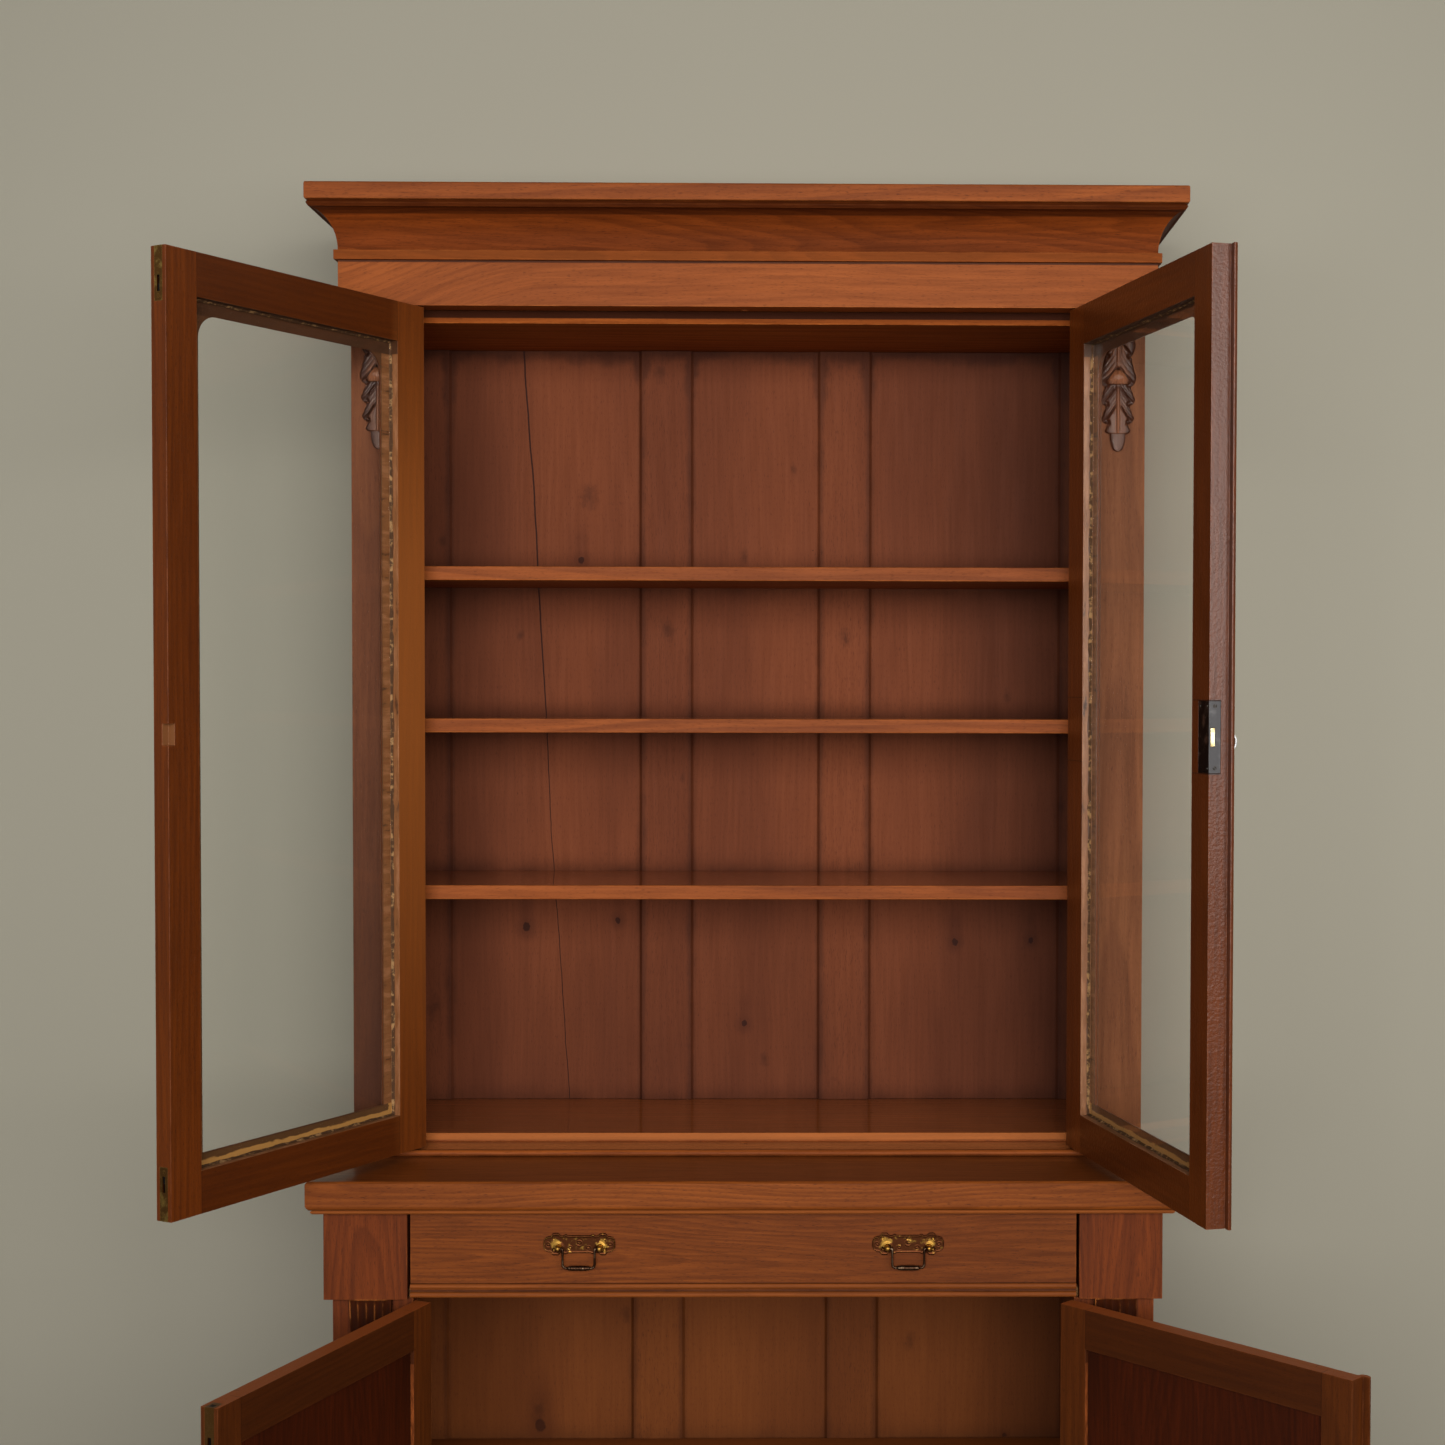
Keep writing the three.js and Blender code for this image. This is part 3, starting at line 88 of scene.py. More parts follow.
def camera_turn(yaw, pitch, roll):
    ahead = Vector((math.sin(yaw) * math.cos(pitch), math.cos(yaw) * math.cos(pitch), math.sin(pitch)))
    right = Vector((math.cos(yaw), -math.sin(yaw), 0))
    up = right.cross(ahead)
    rolled_right = right * math.cos(roll) + up * math.sin(roll)
    rolled_up = up * math.cos(roll) - right * math.sin(roll)
    return Matrix((rolled_right, rolled_up, -ahead)).transposed().to_4x4()


def make_camera():
    data = bpy.data.cameras.new("photo_camera")
    data.sensor_width = SENSOR_WIDTH
    data.lens = data.sensor_width * FOCAL_PIXELS / PHOTO_SIDE
    data.shift_x = (PHOTO_SIDE / 2 - LENS_CENTRE[0]) / PHOTO_SIDE
    data.shift_y = (LENS_CENTRE[1] - PHOTO_SIDE / 2) / PHOTO_SIDE
    camera = bpy.data.objects.new("photo_camera", data)
    camera.matrix_world = Matrix.Translation(CAMERA_PLACE) @ camera_turn(YAW, PITCH, ROLL)
    bpy.context.scene.collection.objects.link(camera)
    bpy.context.scene.camera = camera
    return camera


camera = make_camera()
bpy.context.scene.view_settings.view_transform = "Standard"
print("lens:", round(camera.data.lens, 2), "mm, shift:", round(camera.data.shift_x, 4))

# %% [markdown]
# ## Room
#
# The bookcase stands before a plain grey-green wall. Most light comes softly from the front, so whatever
# faces the camera is lit and the insides of the doors stay dark. Two weaker windows, one on each side, put a
# sheen on edges that turn towards them. The wall is only painted on its front: seen from behind it lets the
# view through, so the back of the bookcase can be looked at too. The Backfacing output in its material does
# it.

# %% Room
WALL_GAP = 0.02
WALL_HALF = 6
WALL_COLOUR = (0.40, 0.375, 0.305, 1)
FLOOR_COLOUR = (0.46, 0.44, 0.4, 1)
DAYLIGHT = (0.86, 0.87, 0.85, 1)
ROOM_GLOW = 0.11
PAINT_ROUGHNESS = 0.85
PAINT_GLOSS = 0.2
WINDOWS = {
    "window_front": {"place": (0.25, -4.6, 2.0), "aim": (0.1, -0.2, 1.8), "size": (3.8, 2.0), "power": 62,
                     "colour": (1, 0.985, 0.95), "spread": 105},
    "window_right": {"place": (3.1, -4.2, 2.2), "aim": (0, -0.3, 1.5), "size": (1.2, 2.0), "power": 18,
                     "colour": (1, 0.97, 0.93), "spread": 120},
    "window_left": {"place": (-3.4, -3.4, 2.4), "aim": (-0.4, -0.2, 1.8), "size": (1.4, 1.8), "power": 10,
                    "colour": (0.93, 0.97, 1), "spread": 140},
}


def new_object(name, mesh):
    made = bpy.data.objects.new(name, mesh)
    bpy.context.scene.collection.objects.link(made)
    return made


def sheet(name, corners, material):
    mesh = bpy.data.meshes.new(name)
    mesh.from_pydata(corners, [], [range(len(corners))])
    mesh.materials.append(material)
    made = new_object(name, mesh)
    made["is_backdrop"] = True
    return made


def tree_of(name):
    material = bpy.data.materials.new(name)
    material.use_nodes = True
    return material, material.node_tree


def room_paint(name, colour, one_sided):
    material, tree = tree_of(name)
    shader = tree.nodes["Principled BSDF"]
    shader.inputs["Base Color"].default_value = colour
    shader.inputs["Roughness"].default_value = PAINT_ROUGHNESS
    shader.inputs["Specular IOR Level"].default_value = PAINT_GLOSS
    if one_sided:
        clear = tree.nodes.new("ShaderNodeBsdfTransparent")
        mix = tree.nodes.new("ShaderNodeMixShader")
        side = tree.nodes.new("ShaderNodeNewGeometry")
        tree.links.new(side.outputs["Backfacing"], mix.inputs[0])
        tree.links.new(shader.outputs[0], mix.inputs[1])
        tree.links.new(clear.outputs[0], mix.inputs[2])
        tree.links.new(mix.outputs[0], tree.nodes["Material Output"].inputs[0])
    return material


def make_room():
    wall = room_paint("wall_paint", WALL_COLOUR, True)
    floor = room_paint("floor_paint", FLOOR_COLOUR, False)
    sheet("wall", [
        (-WALL_HALF, WALL_GAP, 0),
        (WALL_HALF, WALL_GAP, 0),
        (WALL_HALF, WALL_GAP, WALL_HALF),
        (-WALL_HALF, WALL_GAP, WALL_HALF),
    ], wall)
    sheet("floor", [
        (-WALL_HALF, -WALL_HALF, 0),
        (WALL_HALF, -WALL_HALF, 0),
        (WALL_HALF, WALL_HALF, 0),
        (-WALL_HALF, WALL_HALF, 0),
    ], floor)


def soft_window(name, window):
    data = bpy.data.lights.new(name, "AREA")
    data.shape = "RECTANGLE"
    data.size, data.size_y = window["size"]
    data.energy = window["power"]
    data.color = window["colour"]
    data.spread = math.radians(window["spread"])
    lamp = new_object(name, data)
    lamp.location = window["place"]
    lamp.rotation_mode = "QUATERNION"
    lamp.rotation_quaternion = (Vector(window["aim"]) - lamp.location).to_track_quat("-Z", "Y")
    return lamp


def make_daylight():
    for name, window in WINDOWS.items():
        soft_window(name, window)
    world = bpy.data.worlds.new("room_light")
    world.use_nodes = True
    world.node_tree.nodes["Background"].inputs[0].default_value = DAYLIGHT
    world.node_tree.nodes["Background"].inputs[1].default_value = ROOM_GLOW
    bpy.context.scene.world = world


make_room()
make_daylight()
print("windows:", list(WINDOWS))

# %% [markdown]
# ## Shader helpers
#
# A node tree written by hand soon gets long, so a small helper adds a node, sets its values and links its
# inputs in one call. An effect that several finishes share is a node group with named sockets.

# %% Shader helpers


def feed(tree, socket, value):
    """Links a socket to another one, or sets its value."""
    if isinstance(value, bpy.types.NodeSocket):
        tree.links.new(value, socket)
    else:
        socket.default_value = value


def add_node(tree, kind, inputs=None, **settings):
    node = tree.nodes.new(kind)
    for name, value in settings.items():
        setattr(node, name, value)
    for name, value in (inputs or {}).items():
        feed(tree, node.inputs[name], value)
    return node


def maths(tree, operation, *values):
    node = add_node(tree, "ShaderNodeMath", dict(enumerate(values)), operation=operation)
    return node.outputs[0]


def vector_maths(tree, operation, *values):
    node = add_node(tree, "ShaderNodeVectorMath", dict(enumerate(values)), operation=operation)
    return node.outputs[1 if operation in ("LENGTH", "DISTANCE", "DOT_PRODUCT") else 0]


def ramp(tree, value, low, high, smooth=True):
    """0 below low, 1 above high."""
    kind = "SMOOTHSTEP" if smooth else "LINEAR"
    node = add_node(tree, "ShaderNodeMapRange", {"Value": value, "From Min": low, "From Max": high},
                    interpolation_type=kind)
    return node.outputs[0]


def mixed(tree, amount, first, second, kind="RGBA"):
    """A mix of two colours, or with kind VECTOR of two vectors."""
    node = add_node(tree, "ShaderNodeMix", data_type=kind)
    slots = (6, 7, 2) if kind == "RGBA" else (4, 5, 1)
    for index, value in ((0, amount), (slots[0], first), (slots[1], second)):
        feed(tree, node.inputs[index], value)
    return node.outputs[slots[2]]


def tinted(tree, mask, strength, colour, tone):
    """The colour, with a share of the tone where the mask is 1."""
    return mixed(tree, maths(tree, "MULTIPLY", mask, strength), colour, tone)


def split(tree, vector):
    return add_node(tree, "ShaderNodeSeparateXYZ", {0: vector}).outputs


def joined(tree, x, y, z):
    return add_node(tree, "ShaderNodeCombineXYZ", {0: x, 1: y, 2: z}).outputs[0]


def within(tree, value, low, high, soft=0.0002):
    """1 between low and high, 0 outside."""
    above = ramp(tree, value, low - soft, low + soft, smooth=False)
    below = ramp(tree, value, high + soft, high - soft, smooth=False)
    return maths(tree, "MULTIPLY", above, below)


def new_group(name, inputs, outputs):
    """A node group. inputs list (name, kind, default value), outputs (name, kind)."""
    group = bpy.data.node_groups.new(name, "ShaderNodeTree")
    for title, kind, default in inputs:
        socket = group.interface.new_socket(title, in_out="INPUT", socket_type="NodeSocket" + kind)
        if default is not None:
            socket.default_value = default
    for title, kind in outputs:
        group.interface.new_socket(title, in_out="OUTPUT", socket_type="NodeSocket" + kind)
    start = group.nodes.new("NodeGroupInput")
    end = group.nodes.new("NodeGroupOutput")
    return group, start.outputs, end.inputs


def place_group(tree, group, **inputs):
    node = tree.nodes.new("ShaderNodeGroup")
    node.node_tree = group
    for name, value in inputs.items():
        feed(tree, node.inputs[name.replace("_", " ")], value)
    return node.outputs


def rgb(red, green, blue):
    """A colour as a screen shows it, turned into the light that a shader works with."""
    light = [((v / 255 + 0.055) / 1.055) ** 2.4 if v > 10 else v / 255 / 12.92 for v in (red, green, blue)]
    return (*light, 1)


# %% [markdown]
# ## Wood grain
#
# A sawn board is a slice through a tree, so its figure is a slice through nested growth rings. The group
# measures how far a point lies from the tree's axis, which leans a little so that the rings open into long
# arches, and lets a stretched noise make them wander. Finer noises, stretched hard along the grain, add
# streaks and the short dark pores of mahogany. Every board passes the place of its own tree, so no two look
# alike: a near axis gives arches and a far one plain straight grain.

# %% Wood grain
GRAIN_INPUTS = [
    ("Vector", "Vector", None),
    ("Offset", "Vector", (0, 0, 0)),
    ("Ring Spacing", "Float", 0.014),
    ("Lean", "Float", 0.16),
    ("Wander", "Float", 0.02),
]
DRIFT = {"stretch": (1, 1, 0.16), "noise": {"Scale": 9, "Detail": 2}}
STREAKS = {"stretch": (1, 1, 0.04), "noise": {"Scale": 210, "Detail": 4, "Roughness": 0.62}}
PORES = {"stretch": (1, 1, 0.09), "noise": {"Scale": 1300, "Detail": 1}}
TONES = {"stretch": (1, 1, 0.22), "noise": {"Scale": 7, "Detail": 3, "Roughness": 0.6}}
MIDDLE = (0.5, 0.5, 0.5)
DRIFT_REACH = (6, 6, 1)
LATE_WOOD = (0.1, 0.85)
NEXT_RING = (1.0, 0.86)
PORE_LEVELS = (0.6, 0.72)
TONE_LEVELS = (0.3, 0.7)


def drawn_out(group, point, kind):
    """A noise that is stretched along Z, the way of the grain."""
    stretched = vector_maths(group, "MULTIPLY", point, kind["stretch"])
    return add_node(group, "ShaderNodeTexNoise", {"Vector": stretched, **kind["noise"]}).outputs


def make_grain():
    """Figure, Streak and Tone go from 0 to 1, and Pore is 1 in a pore."""
    group, start, end = new_group("wood_grain", GRAIN_INPUTS, [
        ("Figure", "Float"),
        ("Streak", "Float"),
        ("Pore", "Float"),
        ("Tone", "Float"),
    ])
    point = vector_maths(group, "ADD", start["Vector"], start["Offset"])
    drift = vector_maths(group, "SUBTRACT", drawn_out(group, point, DRIFT)["Color"], MIDDLE)
    push = vector_maths(group, "SCALE", drift)
    group.links.new(start["Wander"], push.node.inputs["Scale"])
    wandering = vector_maths(group, "ADD", point, vector_maths(group, "MULTIPLY", push, DRIFT_REACH))
    x, y, z = split(group, wandering)
    leaning = maths(group, "MULTIPLY_ADD", z, start["Lean"], y)
    distance = vector_maths(group, "LENGTH", joined(group, x, leaning, 0.0))
    saw = maths(group, "FRACT", maths(group, "DIVIDE", distance, start["Ring Spacing"]))
    figure = maths(group, "MULTIPLY", ramp(group, saw, *LATE_WOOD), ramp(group, saw, *NEXT_RING))
    group.links.new(figure, end["Figure"])
    group.links.new(drawn_out(group, wandering, STREAKS)[0], end["Streak"])
    group.links.new(ramp(group, drawn_out(group, point, PORES)[0], *PORE_LEVELS), end["Pore"])
    group.links.new(ramp(group, drawn_out(group, point, TONES)[0], *TONE_LEVELS), end["Tone"])
    return group


GRAIN = make_grain()

# %% [markdown]
# ## Wear, grime and painted shade
#
# Hands and cloths rub the varnish thin along the edges, and dust and wax gather where they don't reach. The
# wear group compares the true normal with one rounded over a few millimetres, which differ only near an edge.
# The grime group asks how much of the room a point can see: little of it is left in a corner, and there it
# darkens the colour, partly for dust and partly as painted shade.

# %% Wear, grime and painted shade
EDGE_TURN = (0.995, 0.86)
RUBBED_NOISE = {"Scale": 34, "Detail": 3}
RUBBED_LEVELS = (0.38, 0.62)
OPEN_LEVELS = (0.85, 0.25)
DIRT_NOISE = {"Scale": 21, "Detail": 4}
DIRT_LEVELS = (0.25, 0.7)
LEAST_DIRT = 0.4


def make_wear():
    group, start, end = new_group("edge_wear", [
        ("Vector", "Vector", None),
        ("Width", "Float", 0.003),
        ("Amount", "Float", 1.0),
    ], [("Mask", "Float")])
    rounded = add_node(group, "ShaderNodeBevel", {"Radius": start["Width"]}, samples=4)
    true = add_node(group, "ShaderNodeNewGeometry")
    same = vector_maths(group, "DOT_PRODUCT", rounded.outputs[0], true.outputs["Normal"])
    edge = ramp(group, same, *EDGE_TURN)
    patch = add_node(group, "ShaderNodeTexNoise", {"Vector": start["Vector"], **RUBBED_NOISE})
    rubbed = ramp(group, patch.outputs[0], *RUBBED_LEVELS)
    worn = maths(group, "MULTIPLY", edge, rubbed)
    group.links.new(maths(group, "MULTIPLY", worn, start["Amount"]), end["Mask"])
    return group


def make_grime_and_shade():
    group, start, end = new_group("grime_and_shade", [
        ("Vector", "Vector", None),
        ("Reach", "Float", 0.03),
        ("Amount", "Float", 1.0),
    ], [("Mask", "Float")])
    # Little open sky means a corner or recess: the mask darkens it, for dust and as painted shade.
    open_sky = add_node(group, "ShaderNodeAmbientOcclusion", {"Distance": start["Reach"]}, samples=5)
    hidden = ramp(group, open_sky.outputs["AO"], *OPEN_LEVELS)
    patch = add_node(group, "ShaderNodeTexNoise", {"Vector": start["Vector"], **DIRT_NOISE})
    uneven = ramp(group, patch.outputs[0], *DIRT_LEVELS, smooth=False)
    share = maths(group, "MULTIPLY_ADD", uneven, 1 - LEAST_DIRT, LEAST_DIRT)
    grime_and_shade_mask = maths(group, "MULTIPLY", hidden, share)
    group.links.new(maths(group, "MULTIPLY", grime_and_shade_mask, start["Amount"]), end["Mask"])
    return group


WEAR = make_wear()
GRIME_AND_SHADE = make_grime_and_shade()
print("groups:", [group.name for group in bpy.data.node_groups])

# %% [markdown]
# ## Wood finishes
#
# Every wood here is one recipe with other values: a dark and a light tone, mixed by the rings and streaks,
# darker pores, bare orange wood where an edge is rubbed, grime and painted shade in the corners and darker
# end grain. Some boards also get bands of painted light and shade, and one board painted shade towards its
# foot.
# The grain has to run along each board, so the point is turned first until the board's length lies along Z.

# %% Wood finishes
UPRIGHT = (0, 0, 0)
ALONG_X = (0, math.pi / 2, 0)
ALONG_Y = (math.pi / 2, 0, 0)
GRAIN_AXES = {UPRIGHT: (0, 0, 1), ALONG_X: (1, 0, 0), ALONG_Y: (0, 1, 0)}
MAHOGANY = {
    "dark": rgb(92, 38, 10),
    "light": rgb(166, 86, 32),
    "pore": rgb(58, 22, 8),
    "bare": rgb(206, 122, 58),
    "dirt_and_shade": rgb(40, 14, 5),
    "figure": 0.34,
    "streak": 0.4,
    "tone": 0.34,
    "rough": 0.56,
    "coat": 0.0,
    "coat_rough": 0.22,
    "polish": 0.0,
    "crackle": 0.0,
    "gloss": 0.16,
    "wear": 0.55,
    "grime_and_shade": 0.6,
    "reach": 0.02,
    "bump": 0.25,
}
DEEP_MAHOGANY = dict(MAHOGANY, **{
    "dark": rgb(66, 24, 5),
    "light": rgb(130, 60, 18),
    "bare": rgb(176, 98, 44),
})
DIM_MAHOGANY = dict(MAHOGANY, **{
    "dark": rgb(84, 44, 22),
    "light": rgb(144, 88, 52),
})
# A darker copy for the left pilaster behind the glass: painted shade, deepening towards its foot.
SHADED_MAHOGANY = dict(MAHOGANY, **{
    "dark": rgb(76, 34, 14),
    "light": rgb(124, 70, 38),
    "fade": 0.5,
})
SHELF_MAHOGANY = dict(MAHOGANY, **{"polish": 1.0, "coat_rough": 0.07})
COUNTER_MAHOGANY = dict(DEEP_MAHOGANY, **{
    "dark": rgb(84, 34, 5),
    "light": rgb(150, 78, 25),
    "polish": 0.7,
})
DRAWER_MAHOGANY = dict(DEEP_MAHOGANY, **{
    "dark": rgb(78, 32, 5),
    "light": rgb(138, 70, 20),
    "streak": 0.5,
})
SMOKY_MAHOGANY = dict(DEEP_MAHOGANY, **{"tone": 0.75})
TOP_MAHOGANY = dict(MAHOGANY, **{"gloss": 0.04})
FRIEZE_MAHOGANY = dict(MAHOGANY, **{"figure": 0.14, "streak": 0.38})
COVE_MAHOGANY = dict(DEEP_MAHOGANY, **{"gloss": 0.05})
DOOR_MAHOGANY = dict(MAHOGANY, **{
    "dark": rgb(58, 22, 3),
    "light": rgb(114, 53, 12),
    "pore": rgb(38, 14, 3),
    "bare": rgb(150, 84, 44),
    "figure": 0.2,
    "coat": 0.2,
    "gloss": 0.42,
    "rough": 0.36,
    "crackle": 7.0,
})
DULL_DOOR_MAHOGANY = dict(DOOR_MAHOGANY, **{"coat": 0.05, "gloss": 0.22, "rough": 0.44, "crackle": 2.0})
DARK_DOOR_MAHOGANY = dict(DOOR_MAHOGANY, **{
    "dark": rgb(52, 22, 7),
    "light": rgb(102, 50, 16),
    "bare": rgb(140, 78, 40),
    "coat": 0.0,
    "gloss": 0.12,
    "rough": 0.5,
    "crackle": 0.0,
})
BACK_STAIN = dict(MAHOGANY, **{
    "dark": rgb(78, 35, 18),
    "light": rgb(131, 69, 39),
    "pore": rgb(74, 32, 18),
    "bare": rgb(154, 90, 58),
    "dirt_and_shade": rgb(36, 12, 7),
    "figure": 0.06,
    "streak": 0.2,
    "tone": 0.45,
    "rough": 0.68,
    "gloss": 0.15,
    "wear": 0.1,
    "grime_and_shade": 0.95,
    "reach": 0.05,
    "bump": 0.18,
})
BASE_STAIN = dict(BACK_STAIN, **{
    "dark": rgb(92, 44, 16),
    "light": rgb(142, 78, 32),
    "bare": rgb(170, 106, 56),
    "dirt_and_shade": rgb(50, 20, 8),
    "grime_and_shade": 0.7,
})
DRAWER_WOOD = dict(BACK_STAIN, **{
    "dark": rgb(146, 100, 60),
    "light": rgb(196, 152, 102),
    "pore": rgb(110, 72, 42),
    "bare": rgb(206, 166, 118),
    "dirt_and_shade": rgb(74, 44, 26),
    "grime_and_shade": 0.6,
})
LOW_SHADE_LEVELS = (1.85, 1.0)
LINE_LEVELS = (0.3, 0.72)
PORE_DARKNESS = 0.5
END_GRAIN_TURN = (0.8, 0.95)
END_GRAIN_DARKNESS = 0.5
SATIN_SPREAD = 0.16
GRIME_DULLNESS = 0.2
UPWARD = (0.9, 0.98)
PORE_DEPTH = -0.6
PEEL_NOISE = {"Scale": 240.0, "Detail": 2}
VARNISH_RELIEF = 0.4 * MM
MITRE_BLUR = 0.3 * MM
LIGHT_BAND_BLUR = 0.6 * MM


def wood_colour(tree, point, grain, look):
    """The colour of a board, and the mask of its grime and painted shade."""
    ring = tinted(tree, grain["Figure"], look["figure"], look["light"], look["dark"])
    lines = ramp(tree, grain["Streak"], *LINE_LEVELS)
    streaked = tinted(tree, lines, look["streak"], ring, look["dark"])
    deep = tinted(tree, grain["Tone"], look["tone"], streaked, look["dark"])
    pored = tinted(tree, grain["Pore"], PORE_DARKNESS, deep, look["pore"])
    worn = place_group(tree, WEAR, Vector=point, Amount=look["wear"])["Mask"]
    bare = mixed(tree, worn, pored, look["bare"])
    # Grime and painted shade where a point sees little of the room.
    grime_and_shade_mask = place_group(tree, GRIME_AND_SHADE, Vector=point, Reach=look["reach"], Amount=look["grime_and_shade"])["Mask"]
    return mixed(tree, grime_and_shade_mask, bare, look["dirt_and_shade"]), grime_and_shade_mask


def end_grain(tree, axis):
    """1 where a face cuts across the grain."""
    normal = add_node(tree, "ShaderNodeTexCoord").outputs["Normal"]
    along = maths(tree, "ABSOLUTE", vector_maths(tree, "DOT_PRODUCT", normal, axis))
    return ramp(tree, along, *END_GRAIN_TURN)


def finish_wood(tree, colour, grime_and_shade_mask, grain, look):
    """The varnish over the colour: satin, duller in the grime, with the grain just felt under it."""
    shader = tree.nodes["Principled BSDF"]
    tree.links.new(colour, shader.inputs["Base Color"])
    satin = maths(tree, "MULTIPLY_ADD", grain["Streak"], SATIN_SPREAD, look["rough"] - SATIN_SPREAD / 2)
    tree.links.new(maths(tree, "MULTIPLY_ADD", grime_and_shade_mask, GRIME_DULLNESS, satin), shader.inputs["Roughness"])
    shader.inputs["Specular IOR Level"].default_value = look["gloss"]
    shader.inputs["Coat Weight"].default_value = look["coat"]
    if look["polish"]:
        upward = split(tree, add_node(tree, "ShaderNodeTexCoord").outputs["Normal"])[2]
        waxed = maths(tree, "MULTIPLY", ramp(tree, upward, *UPWARD), look["polish"])
        tree.links.new(waxed, shader.inputs["Coat Weight"])
    shader.inputs["Coat Roughness"].default_value = look["coat_rough"]
    height = maths(tree, "MULTIPLY_ADD", grain["Pore"], PORE_DEPTH, grain["Streak"])
    if look["crackle"]:
        place = add_node(tree, "ShaderNodeTexCoord").outputs["Object"]
        peel = add_node(tree, "ShaderNodeTexNoise", {"Vector": place, **PEEL_NOISE})
        height = maths(tree, "MULTIPLY_ADD", peel.outputs[0], look["crackle"], height)
    bump = add_node(tree, "ShaderNodeBump", {
        "Height": height,
        "Strength": look["bump"],
        "Distance": VARNISH_RELIEF,
    })
    tree.links.new(bump.outputs[0], shader.inputs["Normal"])


def wood(name, look, turn, offset, mitre=None, light_bands=(), sweep=None, **figure):
    """mitre is the value of abs(x) + y on the line where a moulding turns the corner. Each band of painted
    light and shade is two levels of z, a colour of the look and its strength. sweep says from where to where
    along x the grain bends, and how far."""
    material, tree = tree_of(name)
    place = add_node(tree, "ShaderNodeTexCoord").outputs["Object"]
    board = add_node(tree, "ShaderNodeMapping", {"Vector": place, "Rotation": turn}).outputs[0]
    if mitre is not None:
        side = add_node(tree, "ShaderNodeMapping", {"Vector": place, "Rotation": ALONG_Y}).outputs[0]
        x, y, z = split(tree, place)
        line = maths(tree, "ADD", maths(tree, "ABSOLUTE", x), y)
        round_corner = ramp(tree, line, mitre - MITRE_BLUR, mitre + MITRE_BLUR)
        board = mixed(tree, round_corner, board, side, kind="VECTOR")
    x, y, z = split(tree, place)
    if sweep:
        start, end, bend = sweep
        bent = maths(tree, "MULTIPLY", ramp(tree, x, start, end), bend)
        board = vector_maths(tree, "ADD", board, joined(tree, bent, 0.0, 0.0))
    grain = place_group(tree, GRAIN, Vector=board, Offset=offset, **figure)
    colour, grime_and_shade_mask = wood_colour(tree, place, grain, look)
    # Bands of painted light and shade across the board.
    for low, high, tone, strength in light_bands:
        light_band = within(tree, z, low, high, soft=LIGHT_BAND_BLUR)
        colour = tinted(tree, light_band, strength, colour, look[tone])
    # Painted shade, darker towards the foot of the board.
    if look.get("fade"):
        lower = ramp(tree, z, *LOW_SHADE_LEVELS)
        colour = tinted(tree, lower, look["fade"], colour, look["dirt_and_shade"])
    if mitre is None:
        across = end_grain(tree, GRAIN_AXES[turn])
        colour = tinted(tree, across, END_GRAIN_DARKNESS, colour, look["dark"])
    finish_wood(tree, colour, grime_and_shade_mask, grain, look)
    return material


# %% [markdown]
# ## Softened edges
#
# The boards come in with knife-sharp edges, and no old board has those: a plane and a century of dusting
# round them. The imported mesh may not be changed, but modifiers may sit on it. Weld joins the loose corners,
# Decimate melts flat triangles into whole faces, Bevel rounds what is left, and Weighted Normal keeps the
# broad faces flat.

# %% Softened edges
EASED_EDGE = 0.8 * MM
ROUNDING_STEPS = 2
SHARP_ANGLE = 32
LOOSE_CORNER = 0.02 * MM
FLAT_ANGLE = 0.5


def soften(node, width):
    piece = NODES[node]
    mesh = piece.data
    for name in ("custom_normal", "sharp_face", "sharp_edge"):
        if name in mesh.attributes:
            mesh.attributes.remove(mesh.attributes[name])
    mesh.shade_smooth()
    weld = piece.modifiers.new("weld", "WELD")
    weld.merge_threshold = LOOSE_CORNER
    flat = piece.modifiers.new("flat", "DECIMATE")
    flat.decimate_type = "DISSOLVE"
    flat.angle_limit = math.radians(FLAT_ANGLE)
    bevel = piece.modifiers.new("round", "BEVEL")
    bevel.width = width
    bevel.segments = ROUNDING_STEPS
    bevel.limit_method = "ANGLE"
    bevel.angle_limit = math.radians(SHARP_ANGLE)
    bevel.use_clamp_overlap = False
    bevel.harden_normals = False
    even = piece.modifiers.new("even", "WEIGHTED_NORMAL")
    even.weight = 100
    even.keep_sharp = False
    return piece


def dress(node, material, width=EASED_EDGE):
    piece = soften(node, width)
    piece.data.materials.clear()
    piece.data.materials.append(material)
    return piece


# %% [markdown]
# ## Boards of the case
#
# Each board gets its own tree. The numbers put that tree's axis where the photograph shows the figure: the
# frieze has arches at its left end, the counter and the drawer flow in long waves, and the uprights run
# straight. The mouldings turn the corner in a mitre, and the grain turns with them.

